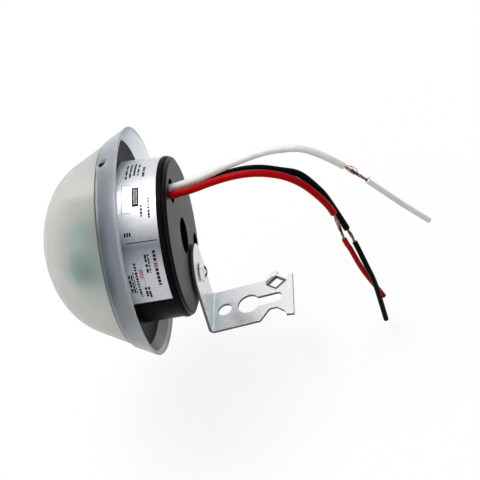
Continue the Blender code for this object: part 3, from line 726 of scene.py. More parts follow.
@dataclass(frozen=True)
class MilkyCover:
    """The cover's milky moulding, whose tones follow their height in the part's frame.

    The dome is warm, with painted shade low down. The skirt is cooler, with painted light and shade in bands
    by height, painted shade where it folds out beside the join and low inside, a dark line at the step that
    is partly a moulding line and partly painted shade, and a painted highlight along the rim with painted
    shade at its bottom. The wall carries a painted shade of the board where the board lies close behind it,
    and a painted highlight round the catch holes.
    """

    name: str = "milky_plastic"
    clarity: float = 0.9
    dome_frost: float = 0.29
    skirt_frost: float = 0.25
    frost_swing: float = 0.08
    level_zone: tuple[float, float] = (0.004, 0.074)
    unevenness: float = 0.12
    dome: Colour = (0.99, 0.985, 0.96)
    # painted shade: the dome darker low down, as if lit from above
    dome_painted_shade_stops: Stops = ((0.28, (0.72, 0.71, 0.68)), (0.48, (1.0, 1.0, 1.0)))
    # painted shade of the board and parts behind the wall, a teal darkening on both sides
    painted_board_shade: Colour = (0.54, 0.70, 0.69)
    board_zone: tuple[float, float, float, float] = (-15.0, 7.5, 60.0, 13.0)
    board_fade: tuple[float, float] = (0.3, 1.15)
    skirt_from: float = -7.3
    inner_from: float = 0.6
    # painted light and shade: the skirt lighter and darker in bands by height
    skirt_painted_light_stops: Stops = (
        (0.3, (0.52, 0.56, 0.60)), (0.45, (0.78, 0.84, 0.93)), (0.58, (0.90, 0.94, 0.99)),
        (0.72, (0.64, 0.75, 0.91)), (0.85, (0.46, 0.59, 0.78)), (0.95, (0.82, 0.89, 0.99)))
    fold_end: float = -3.4
    # painted shade: the skirt darkened beside its join with the dome, out to fold_end
    fold_painted_shade_stops: Stops = (
        (0.45, (0.50, 0.55, 0.60)), (0.57, (0.78, 0.80, 0.82)), (0.68, (0.03, 0.05, 0.08)),
        (0.86, (0.03, 0.05, 0.08)), (0.93, (1.0, 1.0, 1.0)))
    # painted shade: the skirt's inside darker low down
    inner_painted_shade_stops: Stops = (
        (0.0, (0.03, 0.03, 0.02)), (0.18, (0.07, 0.072, 0.055)), (0.34, (0.74, 0.77, 0.80)),
        (0.8, (0.97, 0.965, 0.965)))
    # dark line at the step between dome and skirt: partly a moulding line, partly painted shade
    seam_zone: tuple[float, float] = (-7.6, -6.98)
    seam_and_shade: Colour = (0.01, 0.03, 0.04)
    # painted highlight along the rim's edge, with painted shade at its bottom
    rim_zone: tuple[float, float] = (-1.1, -0.8)
    rim_painted_light_stops: Stops = ((0.05, (0.20, 0.20, 0.18)), (0.2, (0.97, 0.98, 0.99)))
    # painted highlight: a white ring round each catch hole
    hole_highlight_zone: tuple[float, float] = (1.9, 2.5)
    painted_hole_highlight: Colour = (0.97, 0.98, 0.99)

    def material(self) -> Material:
        """Make the material.

        Returns:
            The material.
        """
        coat = Coat(self.name, IOR=1.46, Transmission_Weight=self.clarity, Metallic=0.0)
        grain = coat.grain(size=0.6, patch=9.0)
        patches = grain["Patches"]
        axes = coat.head_axes()
        along = axes["Along"]
        level = coat.scaled(coat.parts()[2], *self.level_zone)
        uneven = coat.maths("MULTIPLY_ADD", patches, self.unevenness,
                            coat.maths("SUBTRACT", level, self.unevenness / 2.0))
        dome = coat.blend(patches, shade(self.dome, 0.96), self.dome)
        # painted shade low on the dome
        dome = coat.blend(1.0, dome, coat.ramp(uneven, self.dome_painted_shade_stops), "MULTIPLY")
        # painted shade of the board behind the wall
        dome = coat.blend(self.board_shade_share(coat, axes), dome, self.painted_board_shade, "MULTIPLY")
        # painted light and shade in bands on the outer skirt, and painted shade beside its join with the dome
        beside = coat.scaled(along, self.skirt_from, self.fold_end, 1.0, 0.0)
        outer = coat.blend(beside, coat.ramp(level, self.skirt_painted_light_stops), coat.ramp(level, self.fold_painted_shade_stops),
                           "MULTIPLY")
        mid_wall = coat.maths("MULTIPLY_ADD", along, HEAD.flare_slope,
                              HEAD.rim_radius - HEAD.skirt_wall * self.inner_from)
        is_inner = coat.maths("LESS_THAN", axes["Out"], mid_wall)
        # painted shade low on the skirt's inside
        skirt = coat.blend(is_inner, outer, coat.ramp(uneven, self.inner_painted_shade_stops))
        on_skirt = coat.scaled(along, self.skirt_from - 0.1, self.skirt_from + 0.1)
        colour = coat.blend(on_skirt, dome, skirt)
        # dark line at the step: partly a moulding line, partly painted shade
        colour = coat.blend(coat.between(along, *self.seam_zone), colour, self.seam_and_shade)
        # painted highlight along the rim, with painted shade at its bottom
        colour = coat.blend(coat.scaled(along, *self.rim_zone), colour, coat.ramp(level, self.rim_painted_light_stops))
        # painted highlight round the catch holes
        colour = coat.blend(self.hole_highlight_share(coat, axes), colour, self.painted_hole_highlight)
        frost = coat.scaled(on_skirt, 0.0, 1.0, self.dome_frost, self.skirt_frost)
        return coat.finish(colour, coat.maths("MULTIPLY_ADD", patches, self.frost_swing, frost),
                           grain["Relief"], depth=0.01)

    def board_shade_share(self, coat: Coat, axes: Any) -> Socket:
        """Find the soft zone, on both sides of the dome, where the wall carries the board's painted shade.

        Args:
            coat: The material.
            axes: Its head axes.

        Returns:
            The share of the painted shade, from 0 to 1.
        """
        middle_x, half_x, middle_turn, half_turn = self.board_zone
        from_top = coat.maths("ABSOLUTE", coat.maths("SUBTRACT", axes["Turn"], 90.0))
        ahead = coat.maths("DIVIDE", coat.maths("SUBTRACT", axes["Along"], middle_x), half_x)
        round_it = coat.maths("DIVIDE", coat.maths("SUBTRACT", from_top, middle_turn), half_turn)
        return coat.scaled(coat.length(ahead, round_it), *self.board_fade, 1.0, 0.0)

    def hole_highlight_share(self, coat: Coat, axes: Any) -> Socket:
        """Find the painted highlight round the catch holes, which are a third of a turn apart.

        Args:
            coat: The material.
            axes: Its head axes.

        Returns:
            The share of the painted highlight, from 0 to 1.
        """
        turn = coat.maths("WRAP", axes["Turn"], 150.0, 30.0)
        side = coat.maths("MULTIPLY", coat.maths("SUBTRACT", turn, 90.0),
                          coat.maths("MULTIPLY", axes["Out"], math.radians(1.0)))
        ahead = coat.maths("SUBTRACT", axes["Along"], HEAD.catch_x)
        return coat.scaled(coat.length(side, ahead), *self.hole_highlight_zone, 1.0, 0.0)


@dataclass(frozen=True)
class WorkedMetal:
    """A metal surface with drawn lines, cloudy plating and a fine relief, with a painted reflection that
    darkens one corner teal-grey if told.
    """

    name: str
    colour: Colour
    shade: Colour
    roughness: float = 0.28
    roughness_swing: float = 0.16
    metallic: float = 1.0
    stretch: tuple[float, float, float] = (300.0, 3000.0, 300.0)
    line_depth: float = 0.004
    cloud_size: float = 5.0
    painted_reflection_to: tuple[float, float] | None = None
    painted_reflection_fade: tuple[float, float] = (0.001, 0.0015)
    painted_reflection: Colour = (0.88, 0.95, 0.96)

    def material(self) -> Material:
        """Make the material.

        Returns:
            The material.
        """
        coat = Coat(self.name, Metallic=self.metallic)
        lines = coat.brushed(self.stretch)
        clouds = coat.grain(size=0.4, patch=self.cloud_size)["Patches"]
        tone = coat.maths("MULTIPLY_ADD", lines, 0.4, coat.maths("MULTIPLY", clouds, 0.6))
        colour = coat.ramp(tone, ((0.3, self.shade), (0.62, self.colour)))
        # painted reflection: darken and tint one corner teal-grey
        if self.painted_reflection_to:
            x, _, z = coat.parts()
            near, low = (coat.scaled(value, edge * MM - fade, edge * MM + fade, 1.0, 0.0)
                         for value, edge, fade in zip((x, z), self.painted_reflection_to, self.painted_reflection_fade))
            colour = coat.blend(coat.maths("MULTIPLY", low, near), colour, self.painted_reflection, "MULTIPLY")
        half = self.roughness_swing / 2.0
        return coat.finish(colour, coat.spread(tone, self.roughness + half, self.roughness - half), lines,
                           self.line_depth)


@dataclass(frozen=True)
class Insulation:
    """Soft wire insulation, with a faint unevenness along the wire."""

    name: str
    colour: Colour
    roughness: float = 0.38
    roughness_swing: float = 0.14
    gloss: float = 0.25

    def material(self) -> Material:
        """Make the material.

        Returns:
            The material.
        """
        coat = Coat(self.name, Specular_IOR_Level=self.gloss)
        grain = coat.grain(size=0.5, patch=4.0)
        roughness = coat.maths("MULTIPLY_ADD", grain["Patches"], self.roughness_swing,
                               self.roughness - self.roughness_swing / 2.0)
        return coat.finish(coat.tones(grain["Patches"], shade(self.colour, 0.88), self.colour), roughness,
                           grain["Relief"], depth=0.02)


class Ink(Enum):
    """The label's printing inks."""

    DARK = (0.008, 0.008, 0.01)
    GREY = (0.35, 0.35, 0.37)
    RED = (0.45, 0.04, 0.08)
    CREAM = (0.88, 0.88, 0.82)


SOLID = (400.0, 1.0)


@dataclass(frozen=True)
class PrintMark:
    """One printed field, along the axis in millimetres and round the label in degrees.

    It is broken into dashes, which have a pitch in degrees and fill a share of it.
    """

    along_from: float
    along_to: float
    turn_from: float
    turn_to: float
    pitch: float
    fill: float
    ink: Ink = Ink.DARK


@dataclass(frozen=True)
class PrintedFoil:
    """The label's silver foil, with plain bars, dashes and fields printed on it, and bands of painted sheen
    and shade round it.
    """

    name: str = "silver_foil"
    colour: Colour = (0.74, 0.75, 0.77)
    shade: Colour = (0.58, 0.59, 0.62)
    # painted sheen and shade: lighter and darker bands round the label, by angle
    painted_sheen_span: float = 190.0
    painted_sheen_stops: Stops = (
        (0.0, (1.0, 1.0, 1.0)), (0.655, (1.0, 1.0, 1.0)), (0.74, (0.30, 0.31, 0.35)),
        (0.84, (0.86, 0.86, 0.88)), (1.0, (0.90, 0.90, 0.92)))
    marks: tuple[PrintMark, ...] = tuple(PrintMark(*row) for row in (
        (-1.3, 1.6, 94.6, 95.2, *SOLID, Ink.GREY),
        (-1.3, 1.6, 116.8, 117.4, *SOLID, Ink.GREY),
        (-1.3, -1.05, 94.6, 117.4, *SOLID, Ink.GREY),
        (2.0, 4.0, 98.0, 113.0, *SOLID),
        (2.5, 2.85, 99.5, 111.5, 1.5, 0.6, Ink.CREAM),
        (3.15, 3.5, 99.5, 111.5, 1.2, 0.6, Ink.CREAM),
        (-0.35, 0.2, 71.0, 89.0, 7.4, 0.9),
        (0.85, 1.4, 70.0, 88.0, 6.2, 0.87),
        (2.05, 2.6, 69.0, 86.0, 9.0, 0.9),
        (3.25, 3.8, 71.0, 86.0, 6.6, 0.9),
        (4.75, 5.5, 76.0, 88.0, 3.4, 0.8),
        (4.5, 4.65, 88.0, 102.0, *SOLID, Ink.GREY),
        (4.25, 4.95, 112.0, 120.5, 2.5, 0.8),
        (6.55, 7.15, 107.0, 122.0, 2.3, 0.75),
        (-1.1, -0.6, 130.3, 133.0, *SOLID),
        (-0.35, 0.15, 130.3, 133.0, *SOLID),
        (0.4, 0.9, 130.3, 133.0, *SOLID),
        (-0.8, 8.4, 137.1, 137.7, *SOLID),
        (3.8, 4.45, 146.0, 159.0, 3.3, 0.8),
        (4.7, 5.15, 146.0, 159.0, 2.5, 0.75),
        (6.4, 7.3, 144.0, 152.0, 2.6, 0.7),
        (6.3, 7.4, 152.6, 155.6, 1.7, 0.75, Ink.RED),
        (6.4, 7.3, 156.4, 169.5, 2.9, 0.75),
        (0.2, 0.85, 151.0, 177.0, 2.1, 0.75),
        (-2.1, -1.5, 159.0, 173.0, 3.4, 0.85),
        (-1.3, -0.8, 159.0, 173.0, 2.5, 0.8),
        (-0.6, -0.3, 157.0, 173.0, 2.9, 0.7),
        (2.5, 2.62, 151.0, 168.0, *SOLID, Ink.RED),
        (1.5, 1.9, 156.0, 162.5, 1.3, 0.7, Ink.RED),
        (2.05, 2.4, 156.0, 162.5, 1.7, 0.75, Ink.RED),
        (1.95, 2.65, 169.5, 179.0, 3.1, 0.8),
        (2.9, 3.5, 169.5, 179.0, 3.5, 0.8),
    ))

    def material(self) -> Material:
        """Make the material.

        Returns:
            The material.
        """
        coat = Coat(self.name, Specular_IOR_Level=0.12)
        axes = coat.head_axes()
        lines = coat.brushed((400.0, 4000.0, 4000.0))
        tone = coat.spread(lines)
        colour = coat.blend(tone, self.shade, self.colour)
        turned = coat.scaled(axes["Turn"], 0.0, self.painted_sheen_span)
        # painted sheen and shade in bands round the label
        colour = coat.blend(1.0, colour, coat.ramp(turned, self.painted_sheen_stops), "MULTIPLY")
        inked: Any = 0.0
        for mark in self.marks:
            mask = coat.effect(EFFECTS.print_mark, Along=axes["Along"], Turn=axes["Turn"],
                               Along_from=mark.along_from, Along_to=mark.along_to, Turn_from=mark.turn_from,
                               Turn_to=mark.turn_to, Pitch=mark.pitch, Fill=mark.fill)["Mask"]
            colour = coat.blend(mask, colour, mark.ink.value)
            inked = coat.maths("MAXIMUM", inked, mask)
        coat.set("Metallic", coat.scaled(inked, 0.0, 1.0, 0.75, 0.0))
        return coat.finish(colour, coat.maths("MULTIPLY_ADD", tone, -0.12, 0.42), lines, depth=0.003)


@dataclass(frozen=True)
class BareCopper:
    """Bare copper strands, tarnished in patches."""

    name: str = "copper"
    bright: Colour = (0.50, 0.27, 0.19)
    brown: Colour = (0.05, 0.026, 0.02)

    def material(self) -> Material:
        """Make the material.

        Returns:
            The material.
        """
        coat = Coat(self.name, Metallic=1.0)
        grain = coat.grain(size=0.2, patch=1.5)
        return coat.finish(coat.ramp(grain["Patches"], ((0.4, self.brown), (0.68, self.bright))),
                           coat.spread(grain["Patches"], 0.5, 0.28), grain["Fine"], depth=0.01)


@dataclass(frozen=True)
class BoardLaminate:
    """The board: cream laminate at its ends, and green varnish over the tracks of its middle."""

    name: str = "board_laminate"
    varnish: Colour = (0.003, 0.22, 0.18)
    track: Colour = (0.02, 0.34, 0.28)
    track_cells: float = 260.0
    track_width: float = 0.12
    bare: Colour = (0.84, 0.84, 0.74)
    varnished: tuple[float, float] = (0.0225, 0.052)

    def material(self) -> Material:
        """Make the material.

        Returns:
            The material.
        """
        coat = Coat(self.name, Coat_Weight=0.4, Coat_Roughness=0.2)
        patches = coat.grain(size=0.3, patch=3.0)["Patches"]
        cells = coat.add("ShaderNodeTexVoronoi", {"Vector": coat.place, "Scale": self.track_cells},
                         feature="DISTANCE_TO_EDGE").outputs[0]
        on_track = coat.maths("LESS_THAN", cells, self.track_width)
        colour = coat.blend(patches, coat.blend(on_track, self.varnish, self.track), self.varnish)
        colour = coat.blend(coat.between(coat.parts()[2], *self.varnished), self.bare, colour)
        return coat.finish(colour, coat.maths("MULTIPLY_ADD", patches, 0.1, 0.35), on_track, depth=0.03)


@dataclass(frozen=True)
class BandedBody:
    """A lacquered component with painted bands round it, told by their places along the head's Z axis."""

    name: str
    body: Colour
    bands: tuple[tuple[float, float, Colour], ...]
    middle: float

    def material(self) -> Material:
        """Make the material.

        Returns:
            The material.
        """
        coat = Coat(self.name, Coat_Weight=0.3, Coat_Roughness=0.15)
        grain = coat.grain(size=0.2, patch=2.0)
        height = coat.head_axes()["Up"]
        colour: Any = self.body
        for low, high, paint in self.bands:
            colour = coat.blend(coat.between(height, self.middle + low, self.middle + high), colour, paint)
        return coat.finish(colour, coat.maths("MULTIPLY_ADD", grain["Patches"], 0.15, 0.3), grain["Fine"],
                           depth=0.01)


@dataclass(frozen=True)
class SensorFace:
    """The sensor's ceramic disc, with its comb of light-sensitive track."""

    name: str = "sensor_ceramic"
    ceramic: Colour = (0.78, 0.62, 0.42)
    track: Colour = (0.50, 0.12, 0.05)
    comb_scale: float = 330.0

    def material(self) -> Material:
        """Make the material.

        Returns:
            The material.
        """
        coat = Coat(self.name, Coat_Weight=0.6, Coat_Roughness=0.08)
        patches = coat.grain(size=0.2, patch=1.0)["Patches"]
        wave = coat.add("ShaderNodeTexWave", {"Vector": coat.place, "Scale": self.comb_scale,
                                              "Distortion": 0.0}, bands_direction="Y").outputs[1]
        comb = coat.maths("GREATER_THAN", wave, 0.6)
        return coat.finish(coat.blend(comb, self.ceramic, self.track),
                           coat.maths("MULTIPLY_ADD", patches, 0.1, 0.3), comb, depth=0.02)


BLACK_PLASTIC = MouldedPlastic("black_plastic", (0.003, 0.003, 0.0035), roughness=0.36,
                               roughness_swing=0.05, colour_swing=0.1, grain_size=0.2, grain_depth=0.003,
                               patch_size=14.0, gloss=0.09)
WHITE_INSULATION = Insulation("white_insulation", (0.90, 0.89, 0.86))
BLACK_INSULATION = Insulation("black_insulation", (0.002, 0.002, 0.002), roughness=0.34, gloss=0.035)
RED_INSULATION = Insulation("red_insulation", (0.46, 0.001, 0.002), roughness=0.32, gloss=0.06)


# Sub-assemblies


@dataclass
class DomeCover:
    """The translucent cover: a rounded nose, a cone, a small step and a flared skirt with catch holes."""

    skirt_depth: float = 7.0
    skirt_step: float = 0.4
    cone_end_x: float = -18.0
    nose_x: float = -31.5
    shoulder_pull: float = 8.0
    nose_pull: float = 13.0
    wall: float = 1.8
    nose_steps: int = 36
    edge_round: float = 0.16
    finish: MilkyCover = MilkyCover()

    def outside(self) -> list[Corner]:
        """List the dome's outer profile from its nose to the foot of the step.

        Returns:
            The profile's corners.
        """
        shoulder = Vector((self.cone_end_x, HEAD.cone(self.cone_end_x) - self.skirt_step, 0.0))
        down = Vector((-1.0, -HEAD.flare_slope, 0.0)).normalized()
        nose = Vector((self.nose_x, 0.0, 0.0))
        rounded = interpolate_bezier(shoulder, shoulder + down * self.shoulder_pull,
                                     nose + Vector((0.0, self.nose_pull, 0.0)), nose, self.nose_steps)
        foot_x = -self.skirt_depth - self.skirt_step
        return [(point.x, point.y, 0.0) for point in reversed(rounded)] + \
            [(foot_x, HEAD.cone(foot_x) - self.skirt_step, 0.12)]

    def inside(self) -> list[Corner]:
        """List the dome's inner profile from its nose to the ledge for the flange.

        Returns:
            The profile's corners.
        """
        profile = self.outside()
        moved = [(profile[0][0] + self.wall, 0.0, 0.0)]
        for before, point, after in zip(profile, profile[1:], profile[2:]):
            along = Vector((after[0] - before[0], after[1] - before[1])).normalized()
            moved.append((point[0] + along.y * self.wall, point[1] - along.x * self.wall, 0.0))
        ledge_x = HEAD.flange_front_x - SEAT_GAP
        drop = self.skirt_step + self.wall * math.hypot(1.0, HEAD.flare_slope)
        return moved + [(ledge_x, HEAD.cone(ledge_x) - drop, 0.15)]

    def build(self) -> None:
        """Build the cover."""
        inside = self.inside()
        ledge_x = inside[-1][0]
        cover = lathe(self.outside() + [
            (-self.skirt_depth, HEAD.cone(-self.skirt_depth), 0.18),
            (0.0, HEAD.rim_radius, 0.42),
            (0.0, HEAD.rim_radius - HEAD.skirt_wall, 0.42),
            (ledge_x, HEAD.cone(ledge_x) - HEAD.skirt_wall, 0.2),
        ] + inside[::-1])
        holes = bmesh.new()
        for turn in HEAD.catch_turns:
            add_rod(holes, around(HEAD.base_radius, turn, HEAD.catch_x),
                    around(HEAD.rim_radius, turn, HEAD.catch_x), HEAD.catch_radius + SEAT_GAP, steps=32)
        cover = combine(cover, holes, Join.CUT)
        soften(cover, self.edge_round)
        add_piece("dome_cover_shell", cover, [self.finish.material()], ["dome_cover"])


@dataclass
class BaseHousing:
    """The black base: a cup with a flange, a banded and grooved side, and a flat back with its wells."""

    cup_wall: float = 2.2
    band: tuple[float, float] = (1.05, 0.35)
    groove: tuple[float, float] = (0.4, 0.35)
    ridge: tuple[float, float] = (0.55, 0.8)
    corner_slant: tuple[float, float] = (0.02, 0.15)
    back_corner: float = 0.7
    well_depth: float = 4.6
    well_wall: float = 1.2
    wells: tuple[tuple[float, float, float], ...] = ((5.7, 0.0, 0.0), (3.7, 11.18, -14.99))
    outlet: tuple[float, float, float] = (3.8, 1.5, 17.5)
    well_steps: int = 64
    screw: tuple[float, float, float] = (1.5, 0.0, -17.0)
    boss_front_x: float = 3.4
    boss_wall: float = 1.5
    board_half: float = 21.6
    board_face: float = 0.8
    guide_engages: float = 1.5
    guide_wall: float = 1.5
    guide_stop_x: float = 2.9
    guide_floor: float = 1.2
    catch_short: float = 0.95
    edge_round: float = 0.12
    finish: MouldedPlastic = BLACK_PLASTIC
    # painted shade: a darker, less glossy copy of the black plastic for the side and flange
    shaded_side_finish: MouldedPlastic = replace(BLACK_PLASTIC, name="black_plastic_side_painted_shade",
                                          colour=(0.002, 0.002, 0.002), gloss=0.02)

    @property
    def floor_x(self) -> float:
        """Give where the inner face of the cup's floor lies."""
        return HEAD.back_x - self.cup_wall

    def section(self) -> list[Corner]:
        """List the base's section from the middle of its cup's floor to the middle of its back.

        Returns:
            The section's corners.
        """
        band_x = HEAD.label_end_x + SEAT_GAP
        groove_x = band_x + self.band[0]
        ridge_x = groove_x + self.groove[0]
        corner_x = ridge_x + self.ridge[0]
        front_x, drop = HEAD.flange_front_x, HEAD.skirt_wall + SEAT_GAP
        proud, sunk = self.band[1], self.groove[1]
        rim_radius = HEAD.side(corner_x) - self.ridge[1]
        return [
            (self.floor_x, 0.0, 0.0),
            (self.floor_x, HEAD.side(self.floor_x) - self.cup_wall, 0.6),
            (front_x, HEAD.side(front_x) - self.cup_wall, 0.3),
            (front_x, HEAD.cone(front_x) - drop, 0.25),
            (HEAD.flange_back_x, HEAD.cone(HEAD.flange_back_x) - drop, 0.25),
            (HEAD.flange_back_x, HEAD.side(HEAD.flange_back_x), 0.3),
            (band_x, HEAD.side(band_x), 0.0),
            (band_x, HEAD.side(band_x) + proud, 0.1),
            (groove_x, HEAD.side(groove_x) + proud, 0.1),
            (groove_x, HEAD.side(groove_x) - sunk, 0.08),
            (ridge_x, HEAD.side(ridge_x) - sunk, 0.08),
            (ridge_x, HEAD.side(ridge_x), 0.1),
            (corner_x, HEAD.side(corner_x), 0.15),
            (corner_x + self.corner_slant[0], rim_radius, 0.0),
            (HEAD.back_x, rim_radius - self.corner_slant[1], self.back_corner),
            (HEAD.back_x, 0.0, 0.0),
        ]

    def inner_solids(self) -> Solid:
        """Make what stands on the cup inside: the board's guides and the catches outside it.

        Returns:
            The guides and catches.
        """
        made = bmesh.new()
        inner, outer = self.board_half - self.guide_engages, HEAD.side(self.floor_x) - self.cup_wall / 2.0
        half = self.board_face + SEAT_GAP + self.guide_wall
        for side in (-1.0, 1.0):
            low, high = sorted((side * inner, side * outer))
            add_box(made, (HEAD.flange_front_x + SEAT_GAP, -half, low),
                    (self.guide_stop_x + self.guide_floor, half, high))
        for turn in HEAD.catch_turns:
            add_rod(made, around(HEAD.base_radius, turn, HEAD.catch_x),
                    around(HEAD.cone(HEAD.catch_x) - self.catch_short, turn, HEAD.catch_x), HEAD.catch_radius,
                    steps=24)
        return made

    def cutters(self) -> Solid:
        """Make what is cut out of the cup: the board's slots, the wells, the outlet and the screw's hole.

        Returns:
            The cutters.
        """
        made = bmesh.new()
        inner, half = self.board_half - self.guide_engages, self.board_face + SEAT_GAP
        past_back = HEAD.back_x + OVERSHOOT
        for side in (-1.0, 1.0):
            low, high = sorted((side * (inner - OVERSHOOT), side * (self.board_half + SEAT_GAP)))
            add_box(made, (HEAD.flange_front_x - OVERSHOOT, -half, low), (self.guide_stop_x, half, high))
        for radius, *place in self.wells:
            add_rod(made, (HEAD.back_x - self.well_depth, *place), (past_back, *place), radius,
                    self.well_steps)
        radius, *place = self.outlet
        add_rod(made, (self.floor_x - OVERSHOOT, *place), (past_back, *place), radius, self.well_steps)
        radius, *place = self.screw
        add_rod(made, (self.boss_front_x - OVERSHOOT, *place), (past_back, *place), radius + SEAT_GAP)
        return made

    def build(self) -> None:
        """Build the base."""
        bosses = bmesh.new()
        for radius, *place in self.wells:
            add_rod(bosses, (HEAD.back_x - self.well_depth - self.well_wall, *place),
                    (self.floor_x + self.cup_wall / 2.0, *place), radius + self.well_wall, self.well_steps)
        radius, *place = self.screw
        add_rod(bosses, (self.boss_front_x, *place), (self.floor_x + OVERSHOOT, *place),
                radius + SEAT_GAP + self.boss_wall)
        base = combine(lathe(self.section()), bosses, Join.ADD)
        base = combine(base, self.inner_solids(), Join.ADD)
        base = combine(base, self.cutters(), Join.CUT)
        soften(base, self.edge_round)
        base.normal_update()
        # faces off the flat back take the darker copy, as painted shade
        for face in base.faces:
            face.material_index = int(face.normal.x < 0.5 or face.calc_center_median().x < 0.0)
        add_piece("base_moulding", base, [self.finish.material(), self.shaded_side_finish.material()],
                  ["base_housing"])


@dataclass
class RatingLabel:
    """The foil label, wrapped round half of the base's side."""

    start_x: float = -3.5
    lift: float = 0.03
    thickness: float = 0.13
    edge_round: float = 0.05
    span: tuple[float, float] = (-3.0, 183.0)
    finish: PrintedFoil = PrintedFoil()

    def build(self) -> None:
        """Build the label."""
        low, high = self.lift, self.lift + self.thickness
        ends = ((self.start_x, low), (self.start_x, high), (HEAD.label_end_x, high), (HEAD.label_end_x, low))
        label = lathe([(x, HEAD.side(x) + out, self.edge_round) for x, out in ends], span=self.span)
        add_piece("rating_label_foil", label, [self.finish.material()], ["rating_label"])


@dataclass
class MountingBracket:
    """The folded bracket: a flat blank with its holes, bent once."""

    plate: float = 1.0
    bend_radius: float = 0.8
    bend: float = math.radians(99.0)
    bend_steps: int = 18
    leg_half: float = 8.6
    screw_at: float = -21.71
    screw_hole: float = 1.8
    foot_length: float = 27.1
    origin_from_bend: float = 6.75
    fixing_hole: tuple[float, float] = (3.35, 2.4)
    keyhole: tuple[float, float] = (11.65, 3.8)
    slot: tuple[float, float] = (23.3, 2.0)
    diamond: tuple[float, float, float, float] = (21.35, 6.45, 3.1, 2.6)
    tip_half: float = 9.0
    waist: tuple[tuple[float, float], ...] = ((11.6, 0.0), (8.3, 4.3), (6.0, 4.3), (3.2, 1.8), (2.6, 0.0))
    tab: tuple[tuple[float, float], ...] = ((1.5, -0.4), (2.0, 1.2), (5.1, -1.5), (5.1, -3.0), (7.0, -3.0),
                                            (9.8, 0.0))
    edge_round: float = 0.14
    collar: tuple[float, float] = (0.28, 0.35)
    collar_overlap: tuple[float, float] = (0.03, 0.05)
    slit: tuple[float, float, float] = (1.2, 0.2, 1.6)
    # the finish's painted reflection darkens the bend and lower leg teal-grey
    finish: WorkedMetal = WorkedMetal("zinc_plate", (0.84, 0.85, 0.87), (0.75, 0.77, 0.79), roughness=0.26,
                                      metallic=0.5, painted_reflection_to=(-5.2, 11.4))
    cut: WorkedMetal = WorkedMetal("cut_steel", (0.13, 0.13, 0.14), (0.05, 0.05, 0.055), roughness=0.42,
                                   stretch=(900.0, 900.0, 5000.0))

    @property
    def bend_length(self) -> float:
        """Give the blank's length in the bend."""
        return self.bend * (self.bend_radius + self.plate / 2.0)

    def outline(self) -> list[tuple[float, float]]:
        """List the blank's outline: the leg's round end, the waist, the flared end and the tab.

        Returns:
            The outline's corners.
        """
        return arc((self.screw_at, 0.0), self.leg_half, 90.0, 270.0, 40) + \
            [(self.foot_length - back, inward - self.leg_half) for back, inward in self.waist] + \
            [(self.foot_length, -self.tip_half), (self.foot_length, self.tip_half)] + \
            [(self.foot_length - back, self.leg_half - inward) for back, inward in self.tab]

    def holes(self) -> list[list[tuple[float, float]]]:
        """List the blank's holes: for the screw, for fixing, the keyhole, the diamond and the slit beside it.

        Returns:
            The corners of each hole.
        """
        centre, radius = self.keyhole
        slot_end, slot_half = self.slot
        mouth = math.degrees(math.asin(slot_half / radius))
        x, y, half_x, half_y = self.diamond
        away, half_wide, half_long = self.slit
        along = Vector((half_x, half_y)).normalized()
        out = Vector((-along.y, along.x))
        middle = Vector((x - half_x / 2.0, y + half_y / 2.0)) + out * away
        return [
            arc((self.screw_at, 0.0), self.screw_hole),
            arc((self.fixing_hole[0], 0.0), self.fixing_hole[1]),
            arc((centre, 0.0), radius, mouth, 360.0 - mouth, 48) +
            arc((slot_end - slot_half, 0.0), slot_half, -90.0, 90.0, 20),
            [(x - half_x, y), (x, y - half_y), (x + half_x, y), (x, y + half_y)],
            [tuple(middle + along * a * half_long + out * b * half_wide)
             for a, b in ((-1, -1), (1, -1), (1, 1), (-1, 1))],
        ]

    def add_collar(self, bm: Solid) -> None:
        """Add the low collar that the punch has drawn up round the diamond.

        Args:
            bm: The flat blank.
        """
        x, y, half_x, half_y = self.diamond
        width, height = self.collar
        over, under = self.collar_overlap
        edges = []
        for grown in (-over, width):
            scale = 1.0 + grown * math.hypot(half_x, half_y) / (half_x * half_y)
            ring = [bm.verts.new((x + dx * half_x * scale, y + dy * half_y * scale, self.plate - under))
                    for dx, dy in ((-1, 0), (0, -1), (1, 0), (0, 1))]
            edges += [bm.edges.new((ring[i - 1], ring[i])) for i in range(4)]
        low = bmesh.ops.bridge_loops(bm, edges=edges)["faces"]
        raised = bmesh.ops.extrude_face_region(bm, geom=low, use_keep_orig=True)["geom"]
        top = [item for item in raised if isinstance(item, bmesh.types.BMVert)]
        bmesh.ops.translate(bm, verts=top, vec=(0.0, 0.0, height + under))
        bmesh.ops.recalc_face_normals(bm, faces=bm.faces)

    def fold(self, point: Vector) -> Vector:
        """Carry a point of the flat blank to its place on the folded bracket.

        Args:
            point: The point: along the blank, across it, and above its outer face.

        Returns:
            Its place in the foot's space.
        """
        s, y, height = point
        if s >= 0.0:
            return Vector((s - self.origin_from_bend, y, height))
        turned = min(-s, self.bend_length) / self.bend_length * self.bend
        past = max(-s - self.bend_length, 0.0)
        reach = self.bend_radius + self.plate - height
        x = -reach * math.sin(turned) - past * math.cos(turned)
        z = self.plate + self.bend_radius - reach * math.cos(turned) + past * math.sin(turned)
        return Vector((x - self.origin_from_bend, y, z))

